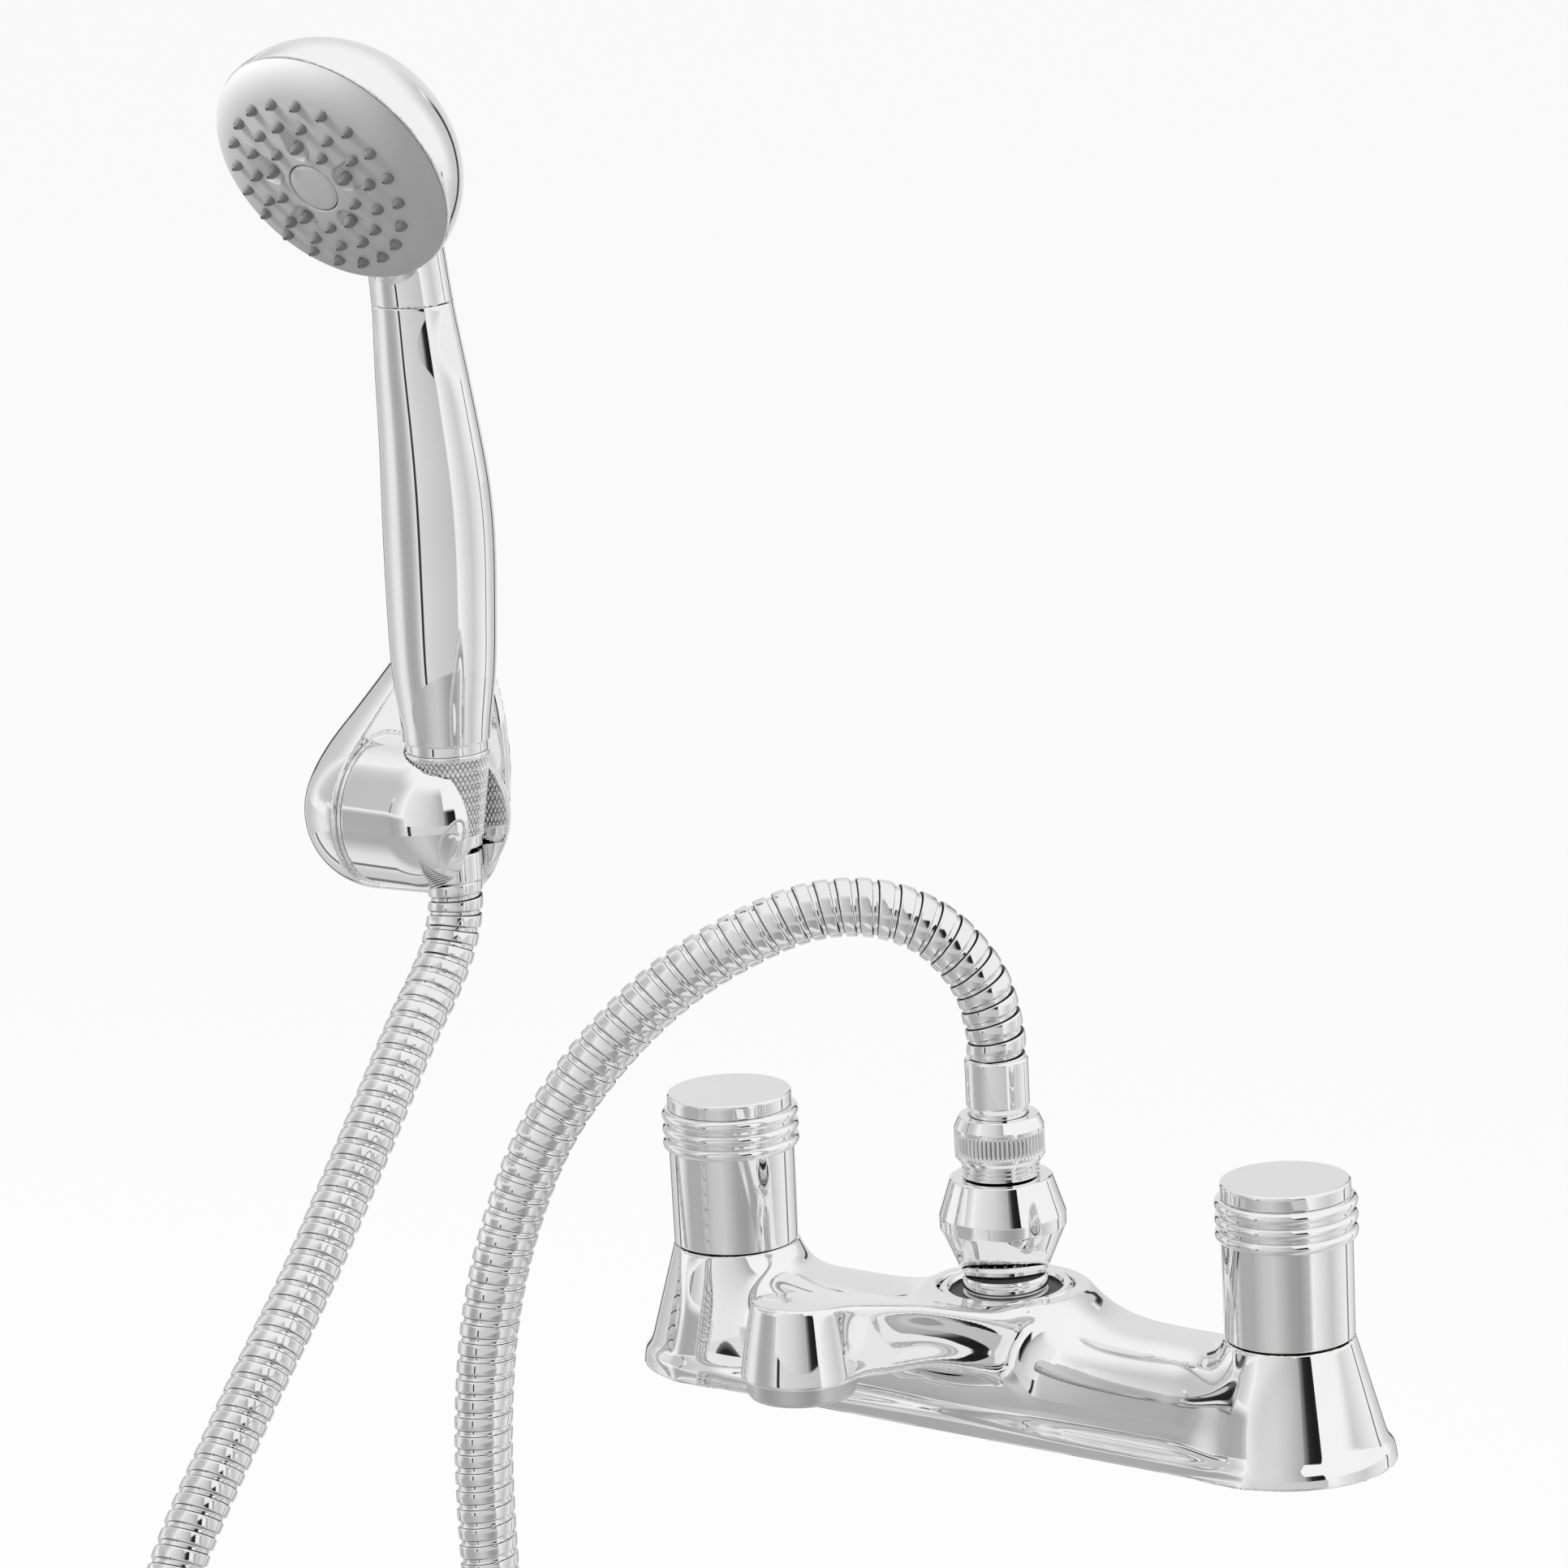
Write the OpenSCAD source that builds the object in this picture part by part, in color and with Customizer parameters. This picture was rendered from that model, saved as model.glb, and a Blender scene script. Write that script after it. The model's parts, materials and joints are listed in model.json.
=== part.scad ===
// Deck bath shower mixer with hose, handset and wall bracket.
// Millimetres, +Z up, X from the hot tap to the cold tap, spout towards -Y, wall at +Y.
// The origin is on the deck, midway between the two inlets.

/* [Body] */
// Distance between the two tap axes
tap_centres = 180; // [170:1:220]
// Radius of the rounded foot at each end
base_r = 26; // [24:0.5:32]
// Height of the straight foot band
base_h = 4; // [3:0.5:6]
// Radius of a valve tower at its top
tower_r = 17.2; // [16.5:0.1:22]
// Height of the valve towers above the deck
tower_h = 33; // [31:0.5:42]
// Height of the bridge between the towers
bridge_h = 28.5; // [28:0.5:31]
// Width of the bridge along its top
bridge_w = 22; // [20:1:30]
// Height of the diverter boss
boss_h = 32; // [31:0.5:33]
// Radius of the diverter boss at its top
boss_r = 19; // [18.5:0.5:24]
// Minor radius of the inlet thread sockets
inlet_r = 12.06; // [10:0.01:13]
// Depth of the inlet thread sockets
inlet_depth = 13; // [11:0.5:14]
// Thickness of the deck seals
seal_h = 1.5; // [1:0.1:2]
// Radius of the drilled water galleries
gallery_r = 3.6; // [3:0.1:4.2]

/* [Spout] */
// Distance from the body's axis to the outlet's axis
spout_reach = 91; // [80:1:120]
// Height of the spout's top at its tip
spout_top = 55; // [52:0.5:64]
// Height of the spout's underside at its tip
spout_under = 37; // [34:0.5:40]
// Width of the spout's arm
spout_w = 26; // [20:1:30]
// Radius of the tip at its top
tip_top_r = 12.3; // [11:0.1:16]
// Radius of the tip at its underside
tip_low_r = 15.3; // [14.5:0.1:19]
// Outer radius of the outlet ring
outlet_r = 14.1; // [13:0.1:17]
// Height of the outlet ring below the tip
outlet_h = 6.5; // [4:0.5:9]
// Radius of the outlet ring's thread
outlet_thread_r = 11.8; // [11:0.1:12.6]
// Radius of the outlet's bore
outlet_bore_r = 9.5; // [8:0.1:10.4]

/* [Taps] */
// Radius of the handle barrel
handle_r = 17; // [16:0.1:22]
// Height of the handle barrel below its cap
handle_h = 37.8; // [34:0.1:50]
// Gap between the handle and the tower
handle_gap = 0.9; // [0.5:0.1:2]
// Wall of the handle barrel
handle_wall = 2.3; // [1.5:0.1:3]
// Height of the cap above the barrel
cap_h = 4.1; // [3:0.1:7]
// Thickness of a bead ring
bead_d = 3.3; // [2:0.1:3.8]
// Spacing of the bead rings
bead_pitch = 4; // [3.9:0.1:6]
// Number of bead rings
beads = 3; // [1:1:4]
// Radius of the valve's thread
valve_r = 10.1; // [9.5:0.1:11]
// Radius of the valve spindle
spindle_r = 4; // [3:0.1:5]
// Radius of the ceramic discs
disc_r = 7.4; // [6.5:0.1:7.6]
// Thickness of each ceramic disc
disc_h = 2.5; // [1.5:0.1:2.8]

/* [Diverter] */
// Outer radius of the flange ring on the boss
flange_r = 18; // [16:0.1:18.4]
// Height of the flange ring
flange_h = 2; // [1.5:0.1:3]
// Radius of the hollow stem
stem_r = 6.5; // [6:0.1:7.5]
// Radius of the stem's waterway
stem_bore_r = 4.5; // [3.5:0.1:5]
// Radius of the diverter's chamber
chamber_r = 9.5; // [8.5:0.1:10.5]
// How far the knob lifts
lift = 8; // [6:0.5:8.5]
// Widest radius of the knob
knob_r = 16.9; // [15:0.1:22]
// Radius of the knob at its top
knob_top_r = 13.7; // [12:0.1:15]
// Radius of the knob at its foot
knob_low_r = 11; // [9:0.1:13]
// Height of the knob
knob_h = 28.5; // [24:0.5:34]
// Radius of the shower outlet thread
shower_thread_r = 10.48; // [9.8:0.01:11]

/* [Hose] */
// Outer diameter of the ribbed hose
hose_d = 15.6; // [12:0.1:16.6]
// Diameter over the grooves between the ribs
hose_groove_d = 14; // [11:0.1:14.8]
// Bore of the hose
hose_bore_d = 9; // [6:0.1:10.5]
// Radius of the knurled nut
nut_r = 12; // [11.6:0.1:16]
// Height of the knurled nut
nut_h = 12.5; // [12:0.5:14]
// Radius of the ferrule at the mixer
ferrule_r = 8.5; // [8.1:0.1:10]

/* [Handset] */
// Largest radius added by the swell of the handle
handle_swell = 4; // [2:0.1:6]
// Radius of the handle at its foot
grip_low_r = 12.4; // [12:0.1:15]
// Radius of the handle at its neck
grip_top_r = 11.4; // [11:0.1:13]
// Length of the handle above its collar
grip_h = 126; // [118:0.5:130]
// Bore of the handle
grip_bore_r = 6; // [4:0.1:6.5]
// Wall of the handle
grip_wall = 3; // [2:0.1:4]
// Radius of the inlet collar
collar_r = 11.8; // [11.5:0.1:12.1]
// Height of the inlet collar
collar_h = 3; // [2:0.5:8]
// Outer radius of the head's shell
head_r = 37.3; // [36:0.1:46]
// Depth of the dome behind the seam
dome_h = 32; // [28:0.5:38]
// Wall of the head's shell
head_wall = 2.5; // [2:0.1:3]
// Height of the spray face in front of the seam
face_h = 8.5; // [8:0.1:10]
// Slope of the spray face below level
face_tilt = 28.6; // [20:0.1:40]
// Radius of the centre disc
disc_cap_r = 7.6; // [6:0.1:8]
// Ring to ring spacing of the nozzles, per nozzle in the ring
nozzle_step = 1.3515; // [1.3:0.01:1.42]
// Radius of a nozzle at the face
nozzle_r = 1.8; // [1.4:0.1:2]
// Height of a nozzle above the face
nozzle_h = 2.7; // [1.5:0.1:3.5]

/* [Bracket] */
// Distance from the bracket's pivot to the wall
pivot_to_wall = 35; // [33:0.5:45]
// Radius of the cradle drum
drum_r = 21.5; // [20.5:0.1:24]
// Radius of the fixed end beside the drum
hub_r = 23; // [21:0.1:26]
// Length of the domed fixed end
hub_l = 23.5; // [18:0.5:26]
// Radius of the pivot screw
pivot_r = 4; // [3:0.1:5]
// Width of the cradle's slot
slot_w = 17; // [16.8:0.1:18]
// Radius of the cone nut at its top
cone_top_r = 12.2; // [12:0.1:14]
// Radius of the cone nut at its foot
cone_low_r = 8.4; // [7.8:0.1:9]
// Half width of the wall base
wall_base_r = 20; // [18:0.5:24]
// Height of the wall base
wall_base_h = 84; // [78:1:100]
// Spacing of the wall screws
screw_spacing = 50; // [40:1:56]
// Radius of the wall screw holes
screw_hole_r = 2.25; // [1.75:0.05:3]

/* [Fits] */
// Clearance of parts that are screwed or pressed together
fit_gap = 0.1; // [0.05:0.01:0.15]
// Radial clearance of turning and sliding parts
run_gap = 0.05; // [0.02:0.01:0.08]
// Clearance of the cone nut in its cradle
seat_gap = 0.1; // [0.06:0.01:0.12]
// Clearance between loose moving parts
loose_gap = 0.3; // [0.2:0.05:0.5]

/* [Hidden] */
$fn = 96;
HOT = -1;
COLD = 1;
CHROME = [0.78, 0.79, 0.80];
BRASS = [0.78, 0.62, 0.32];
RUBBER = [0.13, 0.13, 0.14];
CERAMIC = [0.92, 0.91, 0.88];
GREY = [0.62, 0.62, 0.63];
DARK_GREY = [0.38, 0.38, 0.39];
WHITE_PLASTIC = [0.88, 0.88, 0.87];
STEEL = [0.62, 0.63, 0.65];

// Hose route from the mixer's ferrule to the handset's ferrule
route = [
  [0, 0, 97], [0, 0, 104], [-3, -2, 118], [-11, -8, 131], [-22, -16, 138], [-35, -25, 139],
  [-48, -35, 134.5], [-66, -48, 122.5], [-82, -60, 105], [-95, -70, 84], [-103, -77, 62],
  [-108, -83, 37], [-110, -87, 10], [-110, -89, -20], [-108, -90, -65], [-104, -92, -120],
  [-100, -95, -180], [-97, -99, -240], [-96, -102, -282], [-98, -105, -317], [-109, -109, -348],
  [-132, -114, -370], [-161, -118, -378], [-191, -122, -370], [-214, -126, -348], [-225, -129, -317],
  [-227, -131, -282], [-227, -133, -240], [-224, -133, -180], [-218, -123, -115], [-214, -103, -58],
  [-212, -71, -17], [-212, -41, 13], [-212, -18, 39], [-212, 0, 60], [-212, 13, 75],
  [-212, 23, 85], [-212, 30, 94], [-212, 34, 103.5], [-212, 35, 113],
];
route_steps = 12;
hose_sides = 8;
// Arc lengths at which the hose's three stretches meet, and the ribs of each
mixer_stretch_end = 300;
loop_end = 1130;
mixer_ribs = 48;
loop_ribs = 132;
handset_ribs = 20;
bore_rings_per_rib = 0.5;

// Valve heights
seat_web = 4;
seat_z = inlet_depth + seat_web;
seat_port_r = 6;
seat_seal_h = 2;
fixed_disc_z = seat_z + seat_seal_h;
turning_disc_z = fixed_disc_z + disc_h + run_gap;
drive_z = turning_disc_z + disc_h;
drive_h = 2.4;
valve_chamber_h = 10;
valve_neck_r = 7.5;
valve_flange_h = 3;
valve_neck_h = 12;
spindle_top = tower_h + 24;
seal_ring_d = 1.2;
seal_ring_z = tower_h + 8;
screw_r = 1.9;
screw_head_r = 3.8;
screw_head_h = 2.5;
screw_l = 10;
handle_z = tower_h + handle_gap;
handle_top = handle_z + handle_h;
hub_outer_r = spindle_r + 4;
handle_hub_z = tower_h + valve_neck_h + 1.5;
web_z = spindle_top + fit_gap;
web_h = 2.1;
cap_spigot_r = 9;
cap_spigot_h = 4;

// Diverter heights
chamber_z = 12;
piston_h = 3;
piston_z = chamber_z + 0.5;
bush_z = boss_h - 6;
bush_r = chamber_r + 2;
gallery_z = chamber_z + 5;
spout_port_z = bush_z - 2;
spout_channel_r = 4;
knob_z = boss_h + flange_h + 2;
knob_top = knob_z + knob_h;
knob_lip_h = 2;
knob_waist_z = knob_z + 3.5;
knob_wide_z = knob_z + 17.5;
thread_h = 11;
shower_top = knob_top + thread_h;
washer_h = 1.8;
nut_z = knob_top + 4.5;
nut_top = nut_z + nut_h;
ferrule_flange_z = shower_top + washer_h;
ferrule_flange_h = 2;
ferrule_neck_r = ferrule_r - 0.8;
ferrule_z = nut_top + 1.5;
hose_start = route[0][2];

// Handset and bracket places
wall_y = 70;
pivot_y = wall_y - pivot_to_wall;
pivot_z = 131;
cradle_x = -212;
ring_x = -236;
ring_gap = 1.5;
drum_x = ring_x + 0.5;
drum_centre_x = cradle_x - 6;
wall_base_x = -238;
wall_base_z = 140;
wall_base_depth = 5;
wall_plate_h = 3;
wall_plate_r = 14;
grub_r = 1.3;
grub_y = wall_y - 2;
cone_top_z = 151;
cone_low_z = 123;
inlet_r_out = 10.2;
inlet_h = 9;
cone_step_z = cone_top_z - inlet_h;
cone_washer_h = 1.9;
end_flange_r = 8;
end_flange_h = 2.5;
end_flange_z = cone_step_z - cone_washer_h - end_flange_h - fit_gap;
end_stem_r = 5.5;
end_sleeve_z = route[len(route) - 1][2];
end_sleeve_h = 9;
collar_z = cone_top_z;
grip_z = collar_z + collar_h;
grip_top = grip_z + grip_h;
neck_spigot_r = 8.4;
neck_spigot_h = 10;
head_y = 1;
head_z = 322.6;
neck_tilt = 14;
face_edge_r = face_h - 1.1;
plate_r = head_r - 1;
plate_wall = 2.6;
skirt_h = 3;
ledge_h = 1.5;
mat_h = 1.5;
nozzle_rings = [20, 15, 10];
nozzle_phase = [8, 5.4, 17];
centre_boss_r = 10;
centre_screw_r = 1.5;
shell_boss_r = 4.5;
shell_boss_top = 1.5;
centre_floor = 5;

// Helpers
module at_tap(side) {
  translate([side * tap_centres / 2, 0, 0]) children();
}

module at_handset() {
  translate([cradle_x, pivot_y, 0]) children();
}

module along_x(x) {
  translate([x, pivot_y, pivot_z]) rotate([0, 90, 0]) children();
}

module in_head() {
  translate([cradle_x, head_y, head_z]) rotate([90 + face_tilt, 0, 0]) children();
}

module rod(r, z0, z1) {
  translate([0, 0, z0]) cylinder(r = r, h = z1 - z0);
}

module taper(r0, r1, z0, z1) {
  translate([0, 0, z0]) cylinder(r1 = r0, r2 = r1, h = z1 - z0);
}

module tube(r_out, r_in, z0, z1) {
  difference() {
    rod(r_out, z0, z1);
    rod(r_in, z0 - 1, z1 + 1);
  }
}

module ring(r_mid, d, z) {
  translate([0, 0, z]) rotate_extrude() translate([r_mid, 0]) circle(d = d, $fn = 32);
}

module between(a, b, r) {
  d = b - a;
  l = norm(d);
  translate(a) rotate([0, acos(d[2] / l), atan2(d[1], d[0])]) cylinder(r = r, h = l);
}

// Hose sweep
function bend(p0, p1, p2, p3, t) =
  0.5 * (2 * p1 + (p2 - p0) * t + (2 * p0 - 5 * p1 + 4 * p2 - p3) * t * t
    + (3 * p1 - p0 - 3 * p2 + p3) * t * t * t);
function stop(i) = route[max(0, min(len(route) - 1, i))];
function before(i) = i > 0 ? stop(i - 1) : 2 * stop(0) - stop(1);
function after(i) = i < len(route) - 1 ? stop(i + 1) : 2 * stop(i) - stop(i - 1);
route_line = concat(
  [for (i = [0 : len(route) - 2]) for (k = [0 : route_steps - 1])
    bend(before(i), stop(i), stop(i + 1), after(i + 1), k / route_steps)],
  [stop(len(route) - 1)]);
route_reach = [for (i = 0, s = 0; i < len(route_line);
  s = s + (i + 1 < len(route_line) ? norm(route_line[i + 1] - route_line[i]) : 0), i = i + 1) s];
hose_length = route_reach[len(route_reach) - 1];
reach_table = [for (axis = [0 : 2]) [for (i = [0 : len(route_line) - 1]) [route_reach[i], route_line[i][axis]]]];
function hose_at(s) = [for (axis = [0 : 2]) lookup(s, reach_table[axis])];
function unit(v) = v / norm(v);
function hose_way(s) = s < 1 || s > hose_length - 1 ? [0, 0, 1]
  : unit(hose_at(min(s + 2, hose_length)) - hose_at(max(s - 2, 0)));
function hose_ring(s, r) =
  let (p = hose_at(s), w = hose_way(s), u = unit(cross(w, [0, 1, 0])), v = cross(w, u))
  [for (j = [0 : hose_sides - 1])
    p + r * (cos(360 * (j + 0.5) / hose_sides) * u + sin(360 * (j + 0.5) / hose_sides) * v)];
function band(start, rows, outward) =
  [for (i = [0 : rows - 2]) for (j = [0 : hose_sides - 1])
    let (a = start + i * hose_sides + j, b = start + i * hose_sides + (j + 1) % hose_sides)
    each outward ? [[a, b + hose_sides, b], [a, a + hose_sides, b + hose_sides]]
                 : [[a, b, b + hose_sides], [a, b + hose_sides, a + hose_sides]]];
function lid(outer, inner, first) =
  [for (j = [0 : hose_sides - 1])
    let (k = (j + 1) % hose_sides)
    each first ? [[outer + j, outer + k, inner + k], [outer + j, inner + k, inner + j]]
               : [[outer + j, inner + k, outer + k], [outer + j, inner + j, inner + k]]];

module hose(s0, s1, ribs) {
  rows = 2 * ribs + 1;
  bore_rows = round(ribs * bore_rings_per_rib) + 1;
  step = (s1 - s0) / (rows - 1);
  bore_step = (s1 - s0) / (bore_rows - 1);
  outer = [for (i = [0 : rows - 1])
    each hose_ring(s0 + i * step, (i % 2 == 0 ? hose_groove_d : hose_d) / 2)];
  inner = [for (i = [0 : bore_rows - 1]) each hose_ring(s0 + i * bore_step, hose_bore_d / 2)];
  bore_start = rows * hose_sides;
  last_outer = (rows - 1) * hose_sides;
  last_inner = bore_start + (bore_rows - 1) * hose_sides;
  polyhedron(
    points = concat(outer, inner),
    faces = concat(
      band(0, rows, true),
      band(bore_start, bore_rows, false),
      lid(0, bore_start, true),
      lid(last_outer, last_inner, false)));
}

// Mixer body
module spout_side(width, outline) {
  translate([-width / 2, 0, 0]) rotate([90, 0, 90]) linear_extrude(width) polygon(outline);
}

module spout_arm() {
  top_edge = [
    [0, boss_h], [-flange_r - 0.5, boss_h], [-flange_r - 1.5, boss_h + 2], [-spout_reach, spout_top],
    [-spout_reach, spout_under], [-spout_reach + outlet_r + 1, spout_under]];
  spout_side(spout_w, concat(top_edge, [[-spout_reach + 41, spout_under - 2], [0, spout_under - 9]]));
  spout_side(spout_w * 0.6, concat(top_edge,
    [[-spout_reach + 26, spout_under - 3], [-spout_reach + 41, spout_under - 12],
      [-base_r, base_h + 4], [0, base_h + 4]]));
}

module bridge() {
  translate([-tap_centres / 2, 0, 0]) rotate([90, 0, 90]) linear_extrude(tap_centres)
    polygon([
      [-base_r + 1, base_h], [-bridge_w / 2 - 4, bridge_h - 6], [-bridge_w / 2, bridge_h],
      [bridge_w / 2, bridge_h], [bridge_w / 2 + 4, bridge_h - 6], [base_r - 1, base_h]]);
}

module body_outside() {
  translate([-tap_centres / 2, -base_r, 0]) cube([tap_centres, 2 * base_r, base_h]);
  bridge();
  taper(boss_r + 9, boss_r, bridge_h - 16, boss_h);
  for (side = [HOT, COLD]) at_tap(side) {
    rod(base_r, 0, base_h);
    taper(base_r, tower_r, base_h, tower_h);
  }
}

module body_waterways() {
  for (side = [HOT, COLD]) at_tap(side) {
    rod(inlet_r, -1, inlet_depth);
    rod(seat_port_r, inlet_depth - 1, seat_z + 1);
    rod(valve_r + fit_gap, seat_z, tower_h + 1);
    tube(inlet_r + 9, inlet_r + 2, -1, seal_h);
  }
  for (side = [HOT, COLD])
    between([side * (tap_centres / 2 - valve_r + 1), 0, seat_z + 5],
      [side * (chamber_r - 1), 0, gallery_z], gallery_r);
  rod(chamber_r, chamber_z, boss_h + 1);
  rod(bush_r + fit_gap, bush_z, boss_h + 1);
  between([0, -chamber_r + 2, spout_port_z], [0, -spout_reach + 4, spout_top - 9], spout_channel_r);
  translate([0, -spout_reach, 0]) rod(outlet_thread_r + fit_gap, spout_under - 1, spout_top - 8);
}

module mixer_body() {
  color(CHROME) difference() {
    body_outside();
    body_waterways();
  }
}

module mixer_spout() {
  color(CHROME) difference() {
    union() {
      spout_arm();
      translate([0, -spout_reach, 0]) taper(tip_low_r, tip_top_r, spout_under, spout_top);
    }
    body_outside();
    body_waterways();
  }
}

module deck_seals() {
  color(RUBBER) for (side = [HOT, COLD]) at_tap(side)
    tube(inlet_r + 9 - fit_gap, inlet_r + 2 + fit_gap, 0, seal_h);
}

module outlet_ring() {
  color(CHROME) translate([0, -spout_reach, 0]) difference() {
    union() {
      rod(outlet_r, spout_under - outlet_h, spout_under);
      rod(outlet_thread_r, spout_under - 1, spout_under + 5.5);
    }
    rod(outlet_bore_r, spout_under - outlet_h - 1, spout_under + 6.5);
  }
}

module flow_straightener() {
  hole_pitch = outlet_bore_r * 0.42;
  hole_r = outlet_bore_r * 0.15;
  color(WHITE_PLASTIC) translate([0, -spout_reach, 0]) difference() {
    rod(outlet_bore_r - run_gap, spout_under - outlet_h + 1.5, spout_under);
    rod(hole_r, spout_under - outlet_h, spout_under + 1);
    for (count = [6, 12]) for (i = [0 : count - 1])
      rotate([0, 0, 360 * i / count]) translate([hole_pitch * count / 6, 0, 0])
        rod(hole_r, spout_under - outlet_h, spout_under + 1);
  }
}

module outlet_washer() {
  color(RUBBER) translate([0, -spout_reach, 0])
    tube(outlet_thread_r - fit_gap, outlet_bore_r - 0.5, spout_under + 5.5, spout_under + 7.5);
}

// Taps
module valve_body() {
  color(BRASS) difference() {
    union() {
      rod(valve_r - 1.2, seat_z + fit_gap, seat_z + valve_chamber_h);
      rod(valve_r, seat_z + valve_chamber_h - 1, tower_h + 1);
      rod(handle_r - handle_wall - 1.5, tower_h, tower_h + valve_flange_h);
      rod(valve_neck_r, tower_h, tower_h + valve_neck_h);
    }
    rod(disc_r + fit_gap, seat_z - 1, seat_z + valve_chamber_h);
    rod(spindle_r + run_gap, seat_z, tower_h + valve_neck_h + 1);
    for (turn = [0, 90]) translate([0, 0, seat_z + 5.5]) rotate([90, 0, turn])
      cylinder(r = 2.2, h = 3 * valve_r, center = true);
  }
}

module seat_seal() {
  color(RUBBER) tube(disc_r - fit_gap, seat_port_r - 1, seat_z, seat_z + seat_seal_h);
}

module disc_plate(z) {
  color(CERAMIC) difference() {
    rod(disc_r, z, z + disc_h);
    for (side = [-1, 1]) translate([side * disc_r / 2, 0, 0]) rod(disc_r / 3, z - 1, z + disc_h + 1);
  }
}

module spindle() {
  color(BRASS) difference() {
    union() {
      rod(disc_r - fit_gap, drive_z, drive_z + drive_h);
      rod(spindle_r, drive_z, spindle_top);
    }
    rod(screw_r + fit_gap, spindle_top - screw_l - 1, spindle_top + 1);
    tube(spindle_r + 1, spindle_r - seal_ring_d, seal_ring_z - seal_ring_d, seal_ring_z + seal_ring_d);
  }
}

module spindle_seal() {
  color(RUBBER) ring(spindle_r - seal_ring_d / 2, seal_ring_d, seal_ring_z);
}

module handle() {
  color(CHROME) difference() {
    union() {
      difference() {
        rod(handle_r, handle_z, handle_top);
        rod(handle_r - handle_wall, handle_z - 1, web_z);
      }
      rod(hub_outer_r, handle_hub_z, web_z + 0.5);
      for (i = [0 : beads - 1]) ring(handle_r, bead_d, handle_top - bead_d / 2 - i * bead_pitch);
    }
    rod(spindle_r + run_gap, handle_hub_z - 1, web_z);
    rod(screw_r + fit_gap, web_z - 1, web_z + web_h + 1);
    rod(cap_spigot_r + fit_gap / 2, web_z + web_h, handle_top + 1);
  }
}

module handle_screw() {
  color(STEEL) difference() {
    union() {
      rod(screw_r, web_z + web_h - screw_l, web_z + web_h + 1);
      rod(screw_head_r, web_z + web_h, web_z + web_h + screw_head_h);
    }
    translate([0, 0, web_z + web_h + screw_head_h]) cube([2 * screw_head_r, 1, 2], center = true);
  }
}

module handle_cap() {
  edge = 0.6;
  color(CHROME) {
    rod(cap_spigot_r, handle_top - cap_spigot_h, handle_top + 1);
    rod(handle_r, handle_top, handle_top + cap_h - edge);
    taper(handle_r, handle_r - edge, handle_top + cap_h - edge, handle_top + cap_h);
  }
}

module hot_valve_body() { at_tap(HOT) valve_body(); }
module hot_seat_seal() { at_tap(HOT) seat_seal(); }
module hot_fixed_disc() { at_tap(HOT) disc_plate(fixed_disc_z); }
module hot_turning_disc() { at_tap(HOT) rotate([0, 0, 90]) disc_plate(turning_disc_z); }
module hot_spindle() { at_tap(HOT) spindle(); }
module hot_spindle_seal() { at_tap(HOT) spindle_seal(); }
module hot_handle() { at_tap(HOT) handle(); }
module hot_screw() { at_tap(HOT) handle_screw(); }
module hot_cap() { at_tap(HOT) handle_cap(); }
module cold_valve_body() { at_tap(COLD) valve_body(); }
module cold_seat_seal() { at_tap(COLD) seat_seal(); }
module cold_fixed_disc() { at_tap(COLD) disc_plate(fixed_disc_z); }
module cold_turning_disc() { at_tap(COLD) rotate([0, 0, 90]) disc_plate(turning_disc_z); }
module cold_spindle() { at_tap(COLD) spindle(); }
module cold_spindle_seal() { at_tap(COLD) spindle_seal(); }
module cold_handle() { at_tap(COLD) handle(); }
module cold_screw() { at_tap(COLD) handle_screw(); }
module cold_cap() { at_tap(COLD) handle_cap(); }

// Diverter
module diverter_flange() {
  color(CHROME) difference() {
    taper(flange_r, flange_r - 1.2, boss_h, boss_h + flange_h);
    rod(bush_r + fit_gap, boss_h - 1, boss_h + flange_h + 1);
    taper(bush_r, flange_r - 2, boss_h + flange_h / 2, boss_h + flange_h + fit_gap);
  }
}

module diverter_bush() {
  color(BRASS) difference() {
    rod(bush_r, bush_z, boss_h + flange_h / 2);
    rod(stem_r + run_gap, bush_z - 1, boss_h + flange_h);
    tube(stem_r + 1.6, stem_r, bush_z + 2, bush_z + 3.6);
  }
}

module diverter_bush_seal() {
  color(RUBBER) ring(stem_r + run_gap + 0.7, 1.4, bush_z + 2.8);
}

module diverter_stem() {
  color(BRASS) difference() {
    union() {
      rod(chamber_r - loose_gap, piston_z, piston_z + piston_h);
      rod(stem_r, piston_z, knob_top + 1);
      rod(shower_thread_r, knob_top, shower_top);
    }
    rod(stem_bore_r, piston_z - 1, shower_top + 1);
    tube(chamber_r + 1, chamber_r - 1.6, piston_z + 0.8, piston_z + piston_h - 0.8);
  }
}

module diverter_piston_seal() {
  color(RUBBER) ring(chamber_r - run_gap - 0.7, 1.4, piston_z + piston_h / 2);
}

module diverter_knob() {
  color(CHROME) rotate_extrude() polygon([
    [stem_r + run_gap, knob_z], [knob_low_r + 0.5, knob_z], [knob_low_r + 0.5, knob_z + knob_lip_h],
    [knob_low_r, knob_waist_z], [knob_r, knob_wide_z - 1], [knob_r, knob_wide_z + 1],
    [knob_top_r, knob_top - 0.4], [knob_top_r - 0.6, knob_top], [stem_r + run_gap, knob_top]]);
}

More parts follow.
